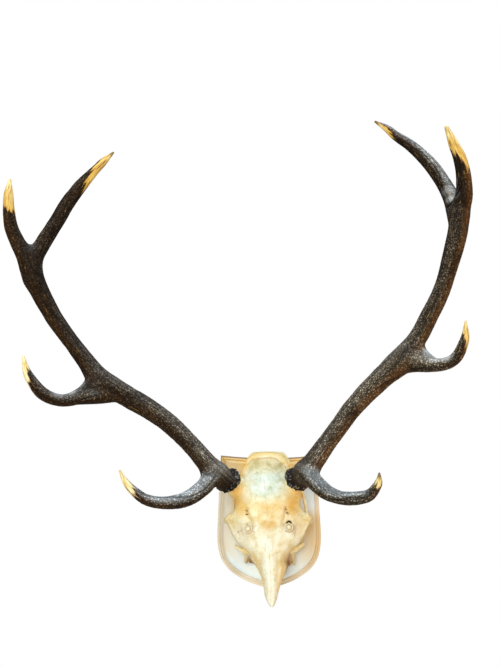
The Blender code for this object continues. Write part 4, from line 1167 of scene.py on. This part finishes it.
def paintMaterial():
    # Gloss paint brushed on sanded wood: off-white, with warm painted shade towards the top and
    # the right, beige on the moulding, with faint brush marks.
    made, tree, shader = startMaterial("aged white paint, brushed on wood")
    look = {name: addNode(tree, "Attribute", out="Fac", attribute_name=name)
            for name in ("paintedShade", "dirtAndShade", "moulding")}
    place = addNode(tree, "TexCoord", out="Object")
    soft = addNode(tree, "TexNoise", {"Vector": place, "Scale": 16.0, "Detail": 2.0})
    # brush marks 1.5 mm wide running up and down
    brushed = addNode(tree, "Mapping", {"Vector": place, "Scale": (650, 60, 12)})
    strokes = addNode(tree, "TexNoise", {"Vector": brushed, "Scale": 1.0, "Detail": 3.0})
    waver = addNode(tree, "MapRange", {"Value": soft, "To Min": 0.60, "To Max": 1.25})
    paintedShadeShare = addNode(tree, "Math", {0: look["paintedShade"], 1: waver}, operation="MULTIPLY")
    colour, rim = [addNode(tree, "ValToRGB", {"Fac": soft}, stops=stops)
                   for stops in (((0.3, "#dbebed"), (0.7, "#ebf9fa")),
                                 ((0.3, "#dacbac"), (0.7, "#ebe1cb")))]
    # beige moulding, then warm painted shade, then dark painted shade along the top edge
    for cover, tone in ((look["moulding"], rim), (paintedShadeShare, "#dcb259"), (look["dirtAndShade"], "#7a5c30")):
        colour = addNode(tree, "Mix", {0: cover, 6: colour, 7: tone}, 2, data_type="RGBA")
    bumps = addNode(tree, "Bump", {"Height": strokes, "Strength": 0.25, "Distance": 0.0003})
    setSockets(shader, {"Base Color": colour, "Normal": bumps, "Roughness": 0.38, "IOR": 1.5,
                        "Coat Weight": 0.15, "Coat Roughness": 0.2})
    return made


board = makeShield()
shieldFields(board)
finishPiece(newObject("shield_board", board), paintMaterial(),
            ["shield_plaque"], 35)


# screws and cup washers

fixing = {
    "steps": 64,
    "gapToBone": 0.3,  # in mm, as all below
    # washer: (radius, height off its seat), from its hole out, over and back under
    "washer": ((2.3, 0.05), (2.3, 0.9), (2.8, 1.1), (4.7, 1.0), (5.3, 0.75), (5.9, 1.2),
               (6.7, 1.65), (7.5, 1.55), (8.1, 1.0), (8.3, 0.3), (8.1, 0.0)),
    # screw, from its point: (radius, distance off the wall)
    "screw": ((0.0, 6.0), (0.6, 7.0), (1.6, 9.0), (2.0, 10.5), (2.0, 90.3), (3.9, 90.3),
              (4.2, 90.6), (4.2, 91.2), (4.05, 91.9), (3.6, 92.5), (2.8, 92.85), (1.6, 93.0),
              (0.0, 93.0)),
    "cross": (4.2, 0.9, 1.2),  # the recess: its length, width and twice its depth
    "washerGrimeAndShade": ((5.3, 0.8), (8.3, 0.7)),  # rings of dirt and painted shade, in the washer's valley and at its rim: (radius, half width)
    "screwGrimeAndShade": ((4.2, 0.3),),
}


def turned(profile, x, z, closed):
    # a profile of (radius, distance) in mm, turned about a line along Y
    bm = bmesh.new()
    verts = [bm.verts.new((radius / 1000, -distance / 1000, 0.0)) for radius, distance in profile]
    for first, second in zip(verts, verts[1:] + verts[:1] if closed else verts[1:]):
        bm.edges.new((first, second))
    bmesh.ops.spin(bm, geom=bm.verts[:] + bm.edges[:], cent=(0, 0, 0), axis=(0, 1, 0),
                   angle=math.tau, steps=fixing["steps"], use_merge=True, use_duplicate=False)
    bmesh.ops.remove_doubles(bm, verts=bm.verts, dist=0.000005)
    bmesh.ops.translate(bm, verts=bm.verts, vec=(x, 0.0, z))
    return meshFrom(bm, "turned")


def crossRecess(x, z):
    bm = bmesh.new()
    length, width, deep = [size / 1000 for size in fixing["cross"]]
    middle = (x, -fixing["screw"][-1][1] / 1000, z)
    for wide, tall in ((length, width), (width, length)):
        bmesh.ops.create_cube(bm, size=1.0, matrix=Matrix.Translation(middle)
                              @ Matrix.Diagonal((wide, deep, tall, 1.0)))
    return bm


def paintGrimeAndShade(mesh, x, z, rings):
    verts = readPoints(mesh)
    radius = np.hypot(verts[:, 0] - x, verts[:, 2] - z) * 1000
    grimeAndShade = np.zeros(len(verts))
    for middle, half in rings:
        grimeAndShade = np.maximum(grimeAndShade, 1 - ease(0.3 * half, half, np.abs(radius - middle)))
    paint(mesh, {"grimeAndShade": grimeAndShade})


def enamelMaterial():
    # Steel dipped in ivory enamel: smooth and glossy, dirty where it was handled, with rings of dirt
    # and painted shade.
    made, tree, shader = startMaterial("ivory enamel, dipped")
    place = addNode(tree, "TexCoord", out="Object")
    dirtAndShade = addNode(tree, "TexNoise", {"Vector": place, "Scale": 420.0, "Detail": 3.0})
    tone = addNode(tree, "ValToRGB", {"Fac": dirtAndShade}, stops=((0.30, "#c9b988"), (0.48, "#e6dcb4"),
                                                           (0.7, "#f1e9cb")))
    grimeAndShade = addNode(tree, "Attribute", out="Fac", attribute_name="grimeAndShade")
    # dirt and painted shade in rings at the hollows and edges
    cover = addNode(tree, "Math", {0: grimeAndShade, 1: 0.60}, operation="MULTIPLY")
    colour = addNode(tree, "Mix", {0: cover, 6: tone, 7: "#8f7138"}, 2, data_type="RGBA")
    bumps = addNode(tree, "Bump", {"Height": dirtAndShade, "Strength": 0.3, "Distance": 0.0001})
    setSockets(shader, {"Base Color": colour, "Normal": bumps, "Roughness": 0.30, "IOR": 1.5,
                        "Coat Weight": 0.3, "Coat Roughness": 0.1})
    return made


ivoryEnamel = enamelMaterial()
seat = skull["washerSeat"] * 1000 + fixing["gapToBone"]
washerProfile = [(radius, seat + height) for radius, height in fixing["washer"]]
for sideName, (x, z) in screwPlaces.items():
    washer = turned(washerProfile, x, z, True)
    paintGrimeAndShade(washer, x, z, fixing["washerGrimeAndShade"])
    finishPiece(newObject(sideName + "_cup_washer", washer), ivoryEnamel,
                [sideName + "_washer"], 50)
    screw = carved(turned(fixing["screw"], x, z, False), crossRecess(x, z))
    paintGrimeAndShade(screw, x, z, fixing["screwGrimeAndShade"])
    finishPiece(newObject(sideName + "_screw_turned", screw), ivoryEnamel,
                [sideName + "_screw"], 40)


# floor, light and camera

bm = bmesh.new()
bmesh.ops.create_grid(bm, x_segments=1, y_segments=1, size=2.5,
                      matrix=Matrix.Translation((0, 0, surroundings["floorHeight"])))
floor = newObject("floor", meshFrom(bm, "floor"))
paleFloor, _, shader = startMaterial("pale floor, matt")  # a plain studio floor
setSockets(shader, {"Base Color": "#f2f1ee", "Roughness": 0.8, "IOR": 1.5})
floor.data.materials.append(paleFloor)

world = bpy.data.worlds.new("plainStudio")
world.use_nodes = True
bpy.context.scene.world = world
sky = world.node_tree
sky.nodes.clear()
# the camera sees the plain background, and the part is lit by the glow
seen = addNode(sky, "Background", {"Color": surroundings["behind"], "Strength": 1.0})
glow = addNode(sky, "Background", {"Color": surroundings["glow"],
                                   "Strength": surroundings["glowStrength"]})
rays = addNode(sky, "LightPath", out="Is Camera Ray")
both = addNode(sky, "MixShader", {0: rays, 1: glow, 2: seen})
setSockets(sky.nodes.new("ShaderNodeOutputWorld"), {"Surface": both})
bpy.context.scene.view_settings.view_transform = "Standard"

for name, (place, target, width, height, watts, code) in lights.items():
    lamp = bpy.data.lights.new(name, "AREA")
    lamp.shape = "RECTANGLE"
    lamp.size, lamp.size_y = width, height
    lamp.energy = watts
    lamp.color = linear(code)[:3]
    holder = newObject(name, lamp)
    holder.location = place
    holder.rotation_euler = (Vector(target) - Vector(place)).to_track_quat("-Z", "Y").to_euler()

lens = bpy.data.cameras.new("photoView")
lens.lens = camera["lens"]
viewer = newObject("photoView", lens)
viewer.location = camera["place"]
viewer.rotation_euler = (math.radians(camera["pitch"]), 0.0, 0.0)
bpy.context.scene.camera = viewer

print("scene ready")
